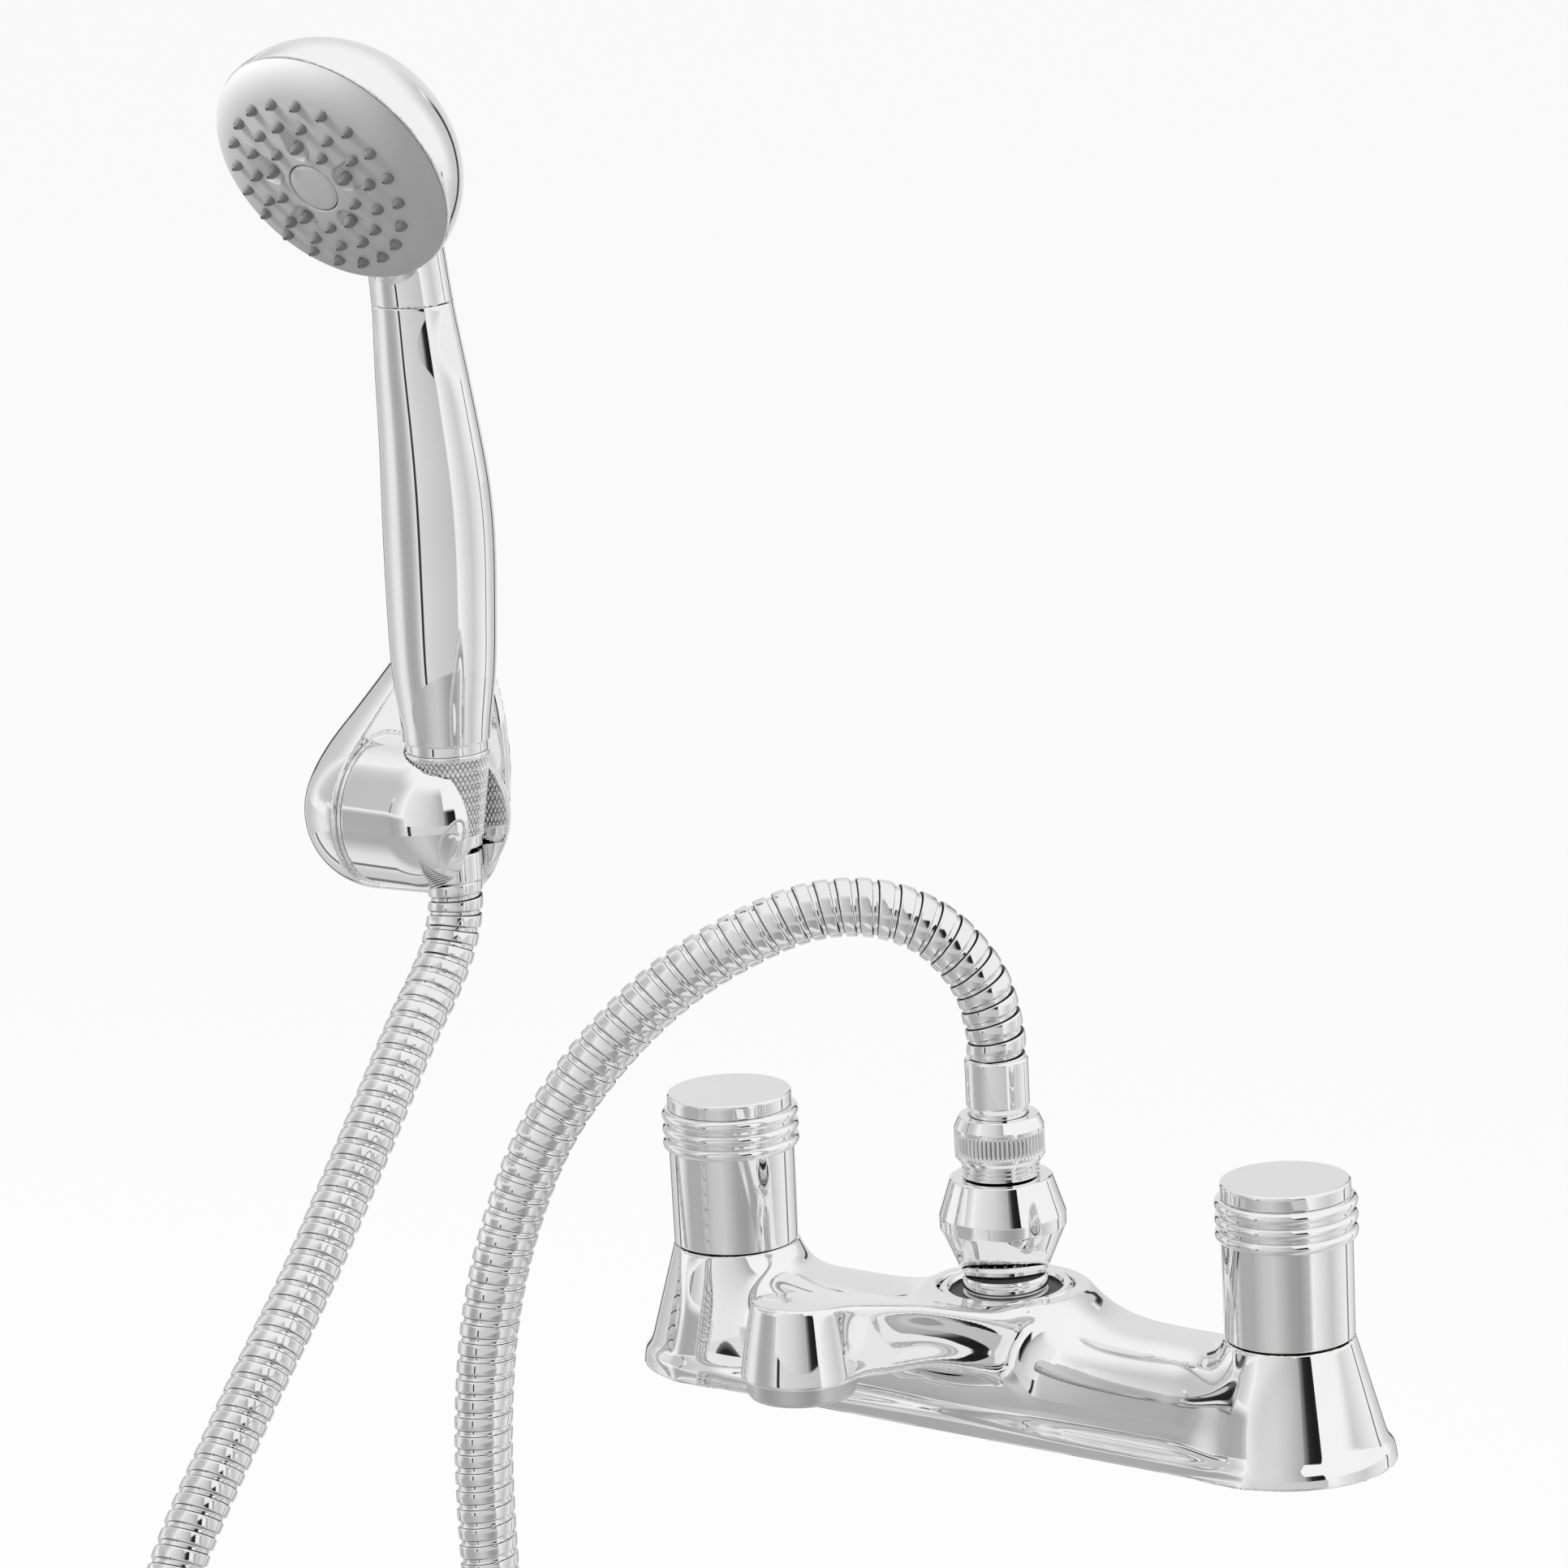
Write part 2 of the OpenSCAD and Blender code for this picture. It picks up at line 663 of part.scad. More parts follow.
// Hose fittings
module hose_nut() {
  grooves = 40;
  groove_r = 0.5;
  color(CHROME) difference() {
    union() {
      taper(nut_r - 1, nut_r, nut_z, nut_z + 1.5);
      rod(nut_r, nut_z + 1.5, nut_top - 3);
      taper(nut_r, nut_r - 1.5, nut_top - 3, nut_top);
    }
    rod(shower_thread_r + fit_gap, nut_z - 1, ferrule_flange_z + ferrule_flange_h);
    rod(ferrule_neck_r + fit_gap, nut_z, nut_top + 1);
    for (i = [0 : grooves - 1]) rotate([0, 0, 360 * i / grooves])
      translate([nut_r + groove_r * 0.4, 0, 0]) rod(groove_r, nut_z + 2.5, nut_top - 4.5);
  }
}

module hose_nut_washer() {
  color(RUBBER) tube(shower_thread_r - 0.3, stem_bore_r + 0.5, shower_top, ferrule_flange_z);
}

module mixer_ferrule() {
  color(CHROME) difference() {
    union() {
      rod(shower_thread_r - fit_gap, ferrule_flange_z, ferrule_flange_z + ferrule_flange_h);
      rod(ferrule_neck_r, ferrule_flange_z, ferrule_z + 1);
      rod(ferrule_r, ferrule_z, hose_start);
    }
    rod(hose_bore_d / 2, ferrule_flange_z - 1, hose_start + 1);
  }
}

module hose_mixer_stretch() {
  color(CHROME) hose(0, mixer_stretch_end, mixer_ribs);
}

module hose_loop() {
  color(CHROME) hose(mixer_stretch_end, loop_end, loop_ribs);
}

module hose_handset_stretch() {
  color(CHROME) hose(loop_end, hose_length, handset_ribs);
}

module handset_ferrule() {
  color(CHROME) at_handset() difference() {
    union() {
      rod(end_flange_r, end_flange_z, end_flange_z + end_flange_h);
      rod(end_stem_r, end_sleeve_z, end_flange_z + 1);
      rod(hose_d / 2 + 0.2, end_sleeve_z, end_sleeve_z + end_sleeve_h);
    }
    rod(hose_bore_d / 2, end_sleeve_z - 1, end_flange_z + end_flange_h + 1);
  }
}

module cone_nut() {
  color(CHROME) at_handset() difference() {
    taper(cone_low_r, cone_top_r, cone_low_z, cone_top_z);
    rod(inlet_r_out + run_gap, cone_step_z - cone_washer_h, cone_top_z + 1);
    rod(end_flange_r + fit_gap, end_flange_z - fit_gap, cone_step_z);
    rod(end_stem_r + run_gap, cone_low_z - 1, cone_step_z);
  }
}

module cone_washer() {
  color(RUBBER) at_handset()
    tube(inlet_r_out - fit_gap, hose_bore_d / 2 + 0.5, cone_step_z - cone_washer_h, cone_step_z);
}

// Handset
function grip_r(t) = grip_low_r + (grip_top_r - grip_low_r) * t + handle_swell * sin(180 * t);

module inlet_collar() {
  color(CHROME) at_handset() tube(collar_r, inlet_r_out + fit_gap, collar_z, collar_z + collar_h);
}

module handset_handle() {
  bands = 16;
  color(CHROME) at_handset() difference() {
    union() {
      rotate_extrude() polygon(concat(
        [[0, grip_z]],
        [for (i = [0 : bands]) [grip_r(i / bands), grip_z + grip_h * i / bands]],
        [[0, grip_top]]));
      rod(inlet_r_out, cone_step_z, grip_z + 1);
      rod(neck_spigot_r, grip_top - 1, grip_top + neck_spigot_h);
    }
    rod(grip_bore_r, cone_step_z - 1, grip_top + neck_spigot_h + 1);
    rotate_extrude() polygon(concat(
      [[0, grip_z + grip_h / bands]],
      [for (i = [1 : bands - 1]) [grip_r(i / bands) - grip_wall, grip_z + grip_h * i / bands]],
      [[0, grip_top - grip_h / bands]]));
  }
}

function dome(r, h, first, steps) =
  [for (i = [first : steps]) [r * cos(90 * i / steps), -h * sin(90 * i / steps)]];

module neck(r, z0, l) {
  at_handset() translate([0, 0, grip_top]) rotate([neck_tilt, 0, 0]) rod(r, z0, l);
}

module head_shell() {
  steps = 10;
  inner_r = head_r - head_wall;
  color(CHROME) difference() {
    union() {
      in_head() rotate_extrude() polygon(concat([[0, 0]], dome(head_r, dome_h, 0, steps)));
      neck(grip_top_r, grip_top_r * tan(neck_tilt) + fit_gap, 34);
      at_handset() rod(grip_top_r, grip_top, grip_top + 6);
    }
    difference() {
      in_head() rotate_extrude() polygon(concat(
        [[0, 1], [plate_r + fit_gap, 1], [plate_r + fit_gap, -skirt_h - ledge_h], [inner_r - 1, -skirt_h - ledge_h]],
        dome(inner_r - 1, dome_h - head_wall, 2, steps)));
      in_head() rod(shell_boss_r, -dome_h, shell_boss_top);
    }
    at_handset() rod(neck_spigot_r + fit_gap, grip_top - 1, grip_top + neck_spigot_h + fit_gap);
    neck(grip_bore_r, 4, 26);
    in_head() rod(centre_screw_r + fit_gap, -14, shell_boss_top + 1);
  }
}

module face_seal() {
  color(RUBBER) in_head() tube(plate_r - fit_gap, head_r - head_wall - 1, -skirt_h - ledge_h, -skirt_h);
}

module at_nozzles() {
  for (k = [0 : len(nozzle_rings) - 1]) for (i = [0 : nozzle_rings[k] - 1])
    rotate([0, 0, nozzle_phase[k] + 360 * i / nozzle_rings[k]])
      translate([nozzle_step * nozzle_rings[k], 0, 0]) children();
}

module spray_plate() {
  turns = 6;
  edge_in = face_edge_r - plate_wall;
  flat_r = plate_r - face_edge_r;
  color(GREY) in_head() difference() {
    union() {
      rotate_extrude() polygon(concat(
        [[plate_r - plate_wall, -skirt_h], [plate_r, -skirt_h]],
        [for (i = [0 : turns]) [flat_r + face_edge_r * cos(90 * i / turns),
          face_h - face_edge_r + face_edge_r * sin(90 * i / turns)]],
        [[0, face_h], [0, face_h - plate_wall]],
        [for (i = [turns : -1 : 0]) [flat_r + edge_in * cos(90 * i / turns),
          face_h - face_edge_r + edge_in * sin(90 * i / turns)]]));
      rod(centre_boss_r, shell_boss_top, face_h - 1);
    }
    at_nozzles() rod(nozzle_r + fit_gap, 0, face_h + 1);
    rod(disc_cap_r + fit_gap, centre_floor, face_h + 1);
    rod(centre_screw_r + fit_gap, 0, face_h);
  }
}

module nozzle_mat() {
  back = face_h - plate_wall - mat_h - fit_gap;
  color(DARK_GREY) in_head() difference() {
    union() {
      tube(nozzle_step * nozzle_rings[0] + nozzle_r + 0.4, centre_boss_r + fit_gap, back, back + mat_h);
      at_nozzles() rod(nozzle_r, back + mat_h - 0.5, face_h);
      at_nozzles() taper(nozzle_r, nozzle_r * 0.65, face_h, face_h + nozzle_h);
    }
    at_nozzles() rod(0.45, back - 1, face_h + nozzle_h + 1);
  }
}

module centre_screw() {
  color(STEEL) in_head() {
    rod(centre_screw_r, -12, centre_floor + 1);
    rod(2 * centre_screw_r, centre_floor, centre_floor + 2);
  }
}

module centre_disc() {
  color(GREY) in_head() rod(disc_cap_r, centre_floor + 2 + fit_gap, face_h + 0.2);
}

// Wall bracket
module wall_oval(r, h, y0, y1) {
  for (end = [-1, 1]) translate([wall_base_x, y0, wall_base_z + end * (h / 2 - r)]) rotate([-90, 0, 0])
    cylinder(r = r, h = y1 - y0, $fn = 48);
}

module wall_slab(r, h, y0, y1) {
  wall_oval(r, h, y0, y1);
  translate([wall_base_x - r, y0, wall_base_z - h / 2 + r]) cube([2 * r, y1 - y0, h - 2 * r]);
}

module bracket_wall_plate() {
  color(STEEL) difference() {
    wall_slab(wall_plate_r, screw_spacing + 2 * screw_hole_r + 8, wall_y - wall_plate_h, wall_y);
    for (end = [-1, 1]) translate([wall_base_x, wall_y + 1, wall_base_z + end * screw_spacing / 2])
      rotate([90, 0, 0]) cylinder(r = screw_hole_r, h = wall_plate_h + 2);
  }
}

module bracket_base() {
  plate_l = screw_spacing + 2 * screw_hole_r + 8;
  color(CHROME) difference() {
    hull() {
      for (f = [0, 0.3, 0.6, 0.85, 1]) along_x(ring_x - ring_gap / 2 - 0.5 - (hub_l - 1) * f)
        cylinder(r = hub_r * sqrt(1 - 0.94 * f * f), h = 0.5, $fn = 48);
      wall_oval(wall_base_r, wall_base_h, wall_y - wall_base_depth, wall_y);
    }
    along_x(ring_x - ring_gap / 2) cylinder(r = drum_r + 2 * loose_gap, h = 80);
    translate([ring_x + 5, -100, 0]) cube([80, pivot_y + drum_r + 1.5 + 100, 300]);
    wall_slab(wall_plate_r + fit_gap, plate_l + 2 * fit_gap, wall_y - wall_plate_h - fit_gap, wall_y + 1);
    for (end = [-1, 1]) translate([wall_base_x, wall_y, wall_base_z + end * screw_spacing / 2])
      rotate([90, 0, 0]) cylinder(r = 2.2 * screw_hole_r, h = wall_plate_h + 6);
    along_x(ring_x - hub_l + 3) cylinder(r = pivot_r + fit_gap / 2, h = hub_l);
    translate([wall_base_x, grub_y, wall_base_z - wall_base_h / 2 - 1])
      cylinder(r = grub_r + fit_gap, h = (wall_base_h - plate_l) / 2 + 2);
  }
}

module bracket_grub_screw() {
  plate_l = screw_spacing + 2 * screw_hole_r + 8;
  low = wall_base_z - wall_base_h / 2 + 0.5;
  color(STEEL) translate([wall_base_x, grub_y, 0]) rod(grub_r, low, wall_base_z - plate_l / 2);
}

module bracket_pivot_screw() {
  color(STEEL) {
    along_x(ring_x - hub_l + 3) cylinder(r = pivot_r, h = hub_l + 4);
    along_x(ring_x + 6.5) cylinder(r = pivot_r + 2, h = 3.5);
  }
}

module bracket_friction_washer() {
  color(WHITE_PLASTIC) along_x(ring_x - ring_gap / 2) difference() {
    cylinder(r = 12, h = drum_x - ring_x + ring_gap / 2 - run_gap);
    translate([0, 0, -1]) cylinder(r = pivot_r + fit_gap, h = 4);
  }
}

module bracket_cradle() {
  cone_slope = (cone_top_r - cone_low_r) / (cone_top_z - cone_low_z);
  over = 12;
  color(CHROME) difference() {
    union() {
      along_x(drum_x) cylinder(r = drum_r, h = drum_centre_x - drum_x);
      difference() {
        translate([drum_centre_x, pivot_y, pivot_z]) sphere(r = drum_r);
        along_x(drum_x - 20) cylinder(r = drum_r + 1, h = 20 + (drum_centre_x - drum_x) / 2);
      }
    }
    along_x(drum_x - 1) cylinder(r = pivot_r + run_gap, h = 20);
    along_x(ring_x + 6.5 - fit_gap) cylinder(r = pivot_r + 2 + loose_gap, h = cradle_x - ring_x - 8);
    at_handset() {
      taper(cone_low_r + seat_gap - over * cone_slope, cone_top_r + seat_gap, cone_low_z - over, cone_top_z);
      rod(cone_top_r + seat_gap, cone_top_z - 0.01, cone_top_z + over);
      rod(slot_w / 2, pivot_z - drum_r - 1, pivot_z);
      translate([0, -slot_w / 2, pivot_z - drum_r - 1]) cube([40, slot_w, 2 * drum_r + 2]);
    }
  }
}

mixer_body();
mixer_spout();
deck_seals();
outlet_ring();
flow_straightener();
outlet_washer();
diverter_flange();
diverter_bush();
diverter_bush_seal();
hot_valve_body();
hot_seat_seal();
hot_fixed_disc();
hot_turning_disc();
hot_spindle();
hot_spindle_seal();
hot_handle();
hot_screw();
hot_cap();
cold_valve_body();
cold_seat_seal();
cold_fixed_disc();
cold_turning_disc();
cold_spindle();
cold_spindle_seal();
cold_handle();
cold_screw();
cold_cap();
diverter_stem();
diverter_piston_seal();
diverter_knob();
hose_nut();
hose_nut_washer();
mixer_ferrule();
hose_mixer_stretch();
hose_loop();
hose_handset_stretch();
handset_ferrule();
cone_nut();
cone_washer();
inlet_collar();
handset_handle();
head_shell();
face_seal();
spray_plate();
nozzle_mat();
centre_screw();
centre_disc();
bracket_wall_plate();
bracket_base();
bracket_grub_screw();
bracket_pivot_screw();
bracket_friction_washer();
bracket_cradle();
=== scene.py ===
"""Looks of the bath shower mixer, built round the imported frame.

Lengths are in millimetres, and add_mesh turns them into metres. X runs along the taps, the spout
reaches out along -Y and Z is up.
"""
import json
import math

import bmesh
import bpy
import numpy as np
from mathutils import Matrix, Vector


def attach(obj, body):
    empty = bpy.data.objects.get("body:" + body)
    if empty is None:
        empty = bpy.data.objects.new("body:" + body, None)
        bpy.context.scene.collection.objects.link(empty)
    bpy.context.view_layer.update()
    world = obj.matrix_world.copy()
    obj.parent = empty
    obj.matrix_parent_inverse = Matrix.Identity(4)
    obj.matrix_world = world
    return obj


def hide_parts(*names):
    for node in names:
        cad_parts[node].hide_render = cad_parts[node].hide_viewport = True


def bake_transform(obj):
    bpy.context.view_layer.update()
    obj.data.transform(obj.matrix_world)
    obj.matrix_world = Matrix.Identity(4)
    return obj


MM = 0.001
TAU = 2 * math.pi
TAP_X = 90.0
SPOUT_Y = -91.0
HANDSET = (-212.0, 35.0)  # X and Y of the handset in its cradle
PIVOT = (35.0, 131.0)  # Y and Z of the axis that the cradle tilts on

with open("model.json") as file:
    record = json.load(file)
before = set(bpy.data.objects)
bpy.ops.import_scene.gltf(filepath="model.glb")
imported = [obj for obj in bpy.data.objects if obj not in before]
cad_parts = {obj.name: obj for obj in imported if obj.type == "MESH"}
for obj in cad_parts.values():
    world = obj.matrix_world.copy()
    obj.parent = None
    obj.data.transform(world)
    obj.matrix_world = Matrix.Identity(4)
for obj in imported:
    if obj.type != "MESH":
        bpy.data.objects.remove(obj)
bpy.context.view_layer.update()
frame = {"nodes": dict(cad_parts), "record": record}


def link(name, data):
    obj = bpy.data.objects.new(name, data)
    bpy.context.scene.collection.objects.link(obj)
    return obj


# ---------------- camera
# Fitted to the photo: focal length in its pixels, direction, and place from AIM (across, up and back).
LENS_PIXELS, IMAGE_PIXELS, SENSOR = 9000.0, 1932.0, 36
AZIMUTH, ELEVATION, ROLL = (math.radians(v) for v in (37.435, 13.514, 2.816))
AIM = Vector((0, 0, 40))
OFFSET = (-58.718, 127.236, 1942.835)
BACK = Vector((math.sin(AZIMUTH) * math.cos(ELEVATION), -math.cos(AZIMUTH) * math.cos(ELEVATION),
               math.sin(ELEVATION)))


def add_camera():
    right = Vector((math.cos(AZIMUTH), math.sin(AZIMUTH), 0))
    up = BACK.cross(right)
    across = right * math.cos(ROLL) - up * math.sin(ROLL)
    upward = right * math.sin(ROLL) + up * math.cos(ROLL)
    place = AIM + across * OFFSET[0] + upward * OFFSET[1] + BACK * OFFSET[2]
    data = bpy.data.cameras.new("camera")
    data.sensor_width = SENSOR
    data.lens = SENSOR * LENS_PIXELS / IMAGE_PIXELS
    data.clip_start = 0.05
    data.clip_end = 60
    camera = link("camera", data)
    turn = Matrix((across, upward, BACK)).transposed().to_4x4()
    camera.matrix_world = Matrix.Translation(place * MM) @ turn
    bpy.context.scene.camera = camera


# ---------------- meshes
def add_mesh(name, points, faces, material, angle=32, normals=None):
    """A smooth mesh, shaded by the given normals or else creased where its faces meet at more than angle."""
    mesh = bpy.data.meshes.new(name)
    mesh.from_pydata((np.asarray(points, float) * MM).tolist(), [], [list(map(int, f)) for f in faces])
    if normals is None:
        bm = bmesh.new()
        bm.from_mesh(mesh)
        bmesh.ops.remove_doubles(bm, verts=bm.verts, dist=1e-7)
        bmesh.ops.dissolve_degenerate(bm, edges=bm.edges, dist=1e-8)
        bmesh.ops.recalc_face_normals(bm, faces=bm.faces)
        bm.to_mesh(mesh)
        bm.free()
    mesh.shade_smooth()
    if normals is None:
        mesh.set_sharp_from_angle(angle=math.radians(angle))
    else:
        mesh.normals_split_custom_set_from_vertices(normals.tolist())
    mesh.materials.append(material)
    return link(name, mesh)


def fit(obj, body, slot, *nodes):
    """The piece moves with a body and stands for the named nodes. Its slot argument is not used."""
    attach(obj, body)
    if nodes:
        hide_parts(*nodes)
    return obj


FILLET_SHARE, GUARD_SHARE = 0.45, 0.48  # the most of an edge that a fillet, and a guard point, may take


def rounded(points, steps=6, guard=0.18):
    """A closed outline with rounded corners: each point is (r, z) or (r, z, fillet).

    A guard point beside each fillet keeps the shading of the flat next to it level.
    """
    out = []
    for i, point in enumerate(points):
        here = np.array(point[:2], float)
        if len(point) < 3:
            out.append(here)
            continue
        before = np.array(points[i - 1][:2], float) - here
        after = np.array(points[(i + 1) % len(points)][:2], float) - here
        long_b, long_a = np.linalg.norm(before), np.linalg.norm(after)
        before, after = before / long_b, after / long_a
        half = math.acos(float(np.clip(before @ after, -1, 1))) / 2
        cut = min(point[2] / math.tan(half), FILLET_SHARE * long_b, FILLET_SHARE * long_a)
        radius = cut * math.tan(half)
        centre = here + (before + after) / np.linalg.norm(before + after) * radius / math.sin(half)
        first, last = here + before * cut - centre, here + after * cut - centre
        a0, a1 = math.atan2(first[1], first[0]), math.atan2(last[1], last[0])
        sweep = (a1 - a0 + math.pi) % TAU - math.pi
        if cut + guard < GUARD_SHARE * long_b:
            out.append(here + before * (cut + guard))
        for k in range(steps + 1):
            turn = a0 + sweep * k / steps
            out.append(centre + radius * np.array((math.cos(turn), math.sin(turn))))
        if cut + guard < GUARD_SHARE * long_a:
            out.append(here + after * (cut + guard))
    return out


def stand(x, y):
    """Puts a lathe's axis upright at a place on the plan."""
    return lambda p: p + np.array((x, y, 0.0))


def along_x(p):
    """Puts a lathe's axis along X through the bracket's pivot, with its height as X."""
    return np.stack((p[:, 2], p[:, 1] + PIVOT[0], p[:, 0] + PIVOT[1]), 1)


HEAD = np.array((HANDSET[0], 1.0, 322.6))
HEAD_TURN = math.radians(118.6)  # of the spray face's axis, from upright


def from_head(p):
    """Puts a lathe's axis along the spray face's axis."""
    c, s = math.cos(HEAD_TURN), math.sin(HEAD_TURN)
    return HEAD + np.stack((p[:, 0], c * p[:, 1] - s * p[:, 2], s * p[:, 1] + c * p[:, 2]), 1)


def to_head(p):
    """Places in the spray face's own frame: two across the face and one out along its axis."""
    c, s = math.cos(HEAD_TURN), math.sin(HEAD_TURN)
    d = p - HEAD
    return d[:, 0], c * d[:, 1] + s * d[:, 2], -s * d[:, 1] + c * d[:, 2]


def lathe(name, outline, place, material, turns=128, relief=None, angle=32):
    """A closed outline of (r, z) turned about an axis. relief(r, z, turn) gives new r and z."""
    outline = np.array(outline, float)
    rows = len(outline)
    t, r = np.meshgrid(TAU * np.arange(turns) / turns, outline[:, 0])
    z = np.repeat(outline[:, 1:], turns, 1)
    if relief:
        r, z = relief(r, z, t)
    points = np.stack((r * np.cos(t), r * np.sin(t), z), -1).reshape(-1, 3)
    i, j = np.meshgrid(np.arange(rows), np.arange(turns), indexing="ij")
    a, b = i * turns + j, i * turns + (j + 1) % turns
    up = (i + 1) % rows
    c, d = up * turns + (j + 1) % turns, up * turns + j
    faces = np.stack((a, b, c, d), -1).reshape(-1, 4)
    on_axis = outline[:, 0] < 1e-6
    keep = ~(on_axis[i] & on_axis[up]).reshape(-1)
    return add_mesh(name, place(points), faces[keep], material, angle)


def ring_faces(rows, sides, first=0):
    """Quads between rows of points that each close on themselves."""
    return [(first + i * sides + j, first + i * sides + (j + 1) % sides,
             first + (i + 1) * sides + (j + 1) % sides, first + (i + 1) * sides + j)
            for i in range(rows - 1) for j in range(sides)]


def tube_faces(rows, sides, first=0):
    """The same, with the first and last row closed."""
    foot = [first + j for j in reversed(range(sides))]
    head = [first + (rows - 1) * sides + j for j in range(sides)]
    return ring_faces(rows, sides, first) + [foot, head]


def darken(obj, inside, material):
    """Gives a second material, a painted shade, to the faces whose middle, in mm, a rule picks."""
    n = len(obj.data.polygons)
    middle = np.empty(3 * n)
    obj.data.polygons.foreach_get("center", middle)
    picked = inside(*(middle.reshape(n, 3) / MM).T)
    obj.data.materials.append(material)
    obj.data.polygons.foreach_set("material_index", picked.astype(np.int32))


def ease(v):
    """From 0 to 1 with level ends."""
    return v * v * (3 - 2 * v)


def zigzag(v):
    """Falls from 1 to 0 and climbs back once in each unit."""
    return np.abs((v % 1) * 2 - 1)


def band(z, low, high, fade):
    """1 between two heights, with a short fade to 0 inside each."""
    return np.clip((z - low) / fade, 0, 1) * np.clip((high - z) / fade, 0, 1)


def smin(a, b, k):
    """The lesser of two fields, blended over a width k: two shapes joined with a fillet."""
    h = np.maximum(k - np.abs(a - b), 0) / k
    return np.minimum(a, b) - h * h * h * k / 6


def smax(a, b, k):
    """The greater of two fields, blended: what two shapes share, with a rounded edge."""
    return -smin(-a, -b, k)


def spline(knots):
    """A smooth curve through (x, y) knots: a natural cubic, held flat outside."""
    x, y = np.array(knots, float).T
    n = len(x)
    h = np.diff(x)
    rows = np.zeros((n, n))
    right = np.zeros(n)
    rows[0, 0] = rows[-1, -1] = 1
    for i in range(1, n - 1):
        rows[i, i - 1:i + 2] = h[i - 1], 2 * (h[i - 1] + h[i]), h[i]
        right[i] = 6 * ((y[i + 1] - y[i]) / h[i] - (y[i] - y[i - 1]) / h[i - 1])
    m = np.linalg.solve(rows, right)

    def at(v):
        v = np.clip(v, x[0], x[-1])
        i = np.clip(np.searchsorted(x, v) - 1, 0, n - 2)
        a, b, w = x[i + 1] - v, v - x[i], h[i]
        return ((m[i] * a ** 3 + m[i + 1] * b ** 3) / (6 * w) + (y[i] / w - m[i] * w / 6) * a
                + (y[i + 1] / w - m[i + 1] * w / 6) * b)

    return at


def slope(field, p, step=0.02):
    """A field's gradient at each point."""
    g = np.empty_like(p)
    for axis in range(3):
        d = np.zeros(3)
        d[axis] = step
        g[:, axis] = (field(p + d) - field(p - d)) / (2 * step)
    return g


def cast(name, field, low, high, cell, material, pulls=5):
    """The surface where a field is zero, as even quads pulled onto it, shaded by the field's slope."""
    low, high = np.array(low, float), np.array(high, float)
    n = np.ceil((high - low) / cell).astype(int) + 1
    axes = [low[k] + cell * np.arange(n[k]) for k in range(3)]
    value = np.empty(n)
    y, z = (v.ravel() for v in np.meshgrid(axes[1], axes[2], indexing="ij"))
    for i, x in enumerate(axes[0]):
        value[i] = field(np.stack((np.full(y.size, x), y, z), 1)).reshape(n[1:])
    inside = value < 0
    corners = list(np.ndindex(2, 2, 2))

    def shifted(grid, o):
        return grid[o[0]:n[0] - 1 + o[0], o[1]:n[1] - 1 + o[1], o[2]:n[2] - 1 + o[2]]

    count = sum(shifted(inside, o).astype(int) for o in corners)
    mixed = (count > 0) & (count < 8)
    cells = np.argwhere(mixed)
    index = np.full(mixed.shape, -1)
    index[mixed] = np.arange(len(cells))
    total = np.zeros((len(cells), 3))
    hits = np.zeros(len(cells))
    at = {o: value[cells[:, 0] + o[0], cells[:, 1] + o[1], cells[:, 2] + o[2]] for o in corners}
    for o in corners:
        for axis in range(3):
            if o[axis]:
                continue
            q = tuple(v + (k == axis) for k, v in enumerate(o))
            cross = (at[o] < 0) != (at[q] < 0)
            span = np.where(cross, at[o] - at[q], 1)
            point = np.repeat(np.array([o], float), len(cells), 0)
            point[:, axis] += at[o] / span
            total[cross] += point[cross]
            hits += cross
    p = low + cell * (cells + total / hits[:, None])
    for _ in range(pulls):
        g = slope(field, p)
        step = field(p)[:, None] * g / np.maximum((g * g).sum(1, keepdims=True), 1e-6)
        size = np.linalg.norm(step, axis=1, keepdims=True)
        p = p - step * np.minimum(1, 0.5 * cell / np.maximum(size, 1e-9))
    g = slope(field, p)
    normals = g / np.maximum(np.linalg.norm(g, axis=1, keepdims=True), 1e-9)
    faces = []
    for axis in range(3):
        b, c = (axis + 1) % 3, (axis + 2) % 3
        start = np.argwhere(np.diff(inside, axis=axis))
        within = (start[:, [b, c]] > 0) & (start[:, [b, c]] < n[[b, c]] - 1)
        start = start[within.all(1)]
        out = inside[start[:, 0], start[:, 1], start[:, 2]]
        quad = []
        for db, dc in ((-1, -1), (0, -1), (0, 0), (-1, 0)):
            s = start.copy()
            s[:, b] += db
            s[:, c] += dc
            quad.append(index[s[:, 0], s[:, 1], s[:, 2]])
        quad = np.stack(quad, 1)
        faces.append(np.where(out[:, None], quad, quad[:, ::-1]))
    return add_mesh(name, p, np.concatenate(faces), material, normals=normals)


# ---------------- materials
def add_node(tree, kind, **values):
    """A shader node with its inputs set by name."""
    node = tree.nodes.new(kind)
    for key, value in values.items():
        node.inputs[key.replace("_", " ")].default_value = value
    return node


DRIFT = (0.3, 0.7)  # the range of the broad noise that is spread over a finish


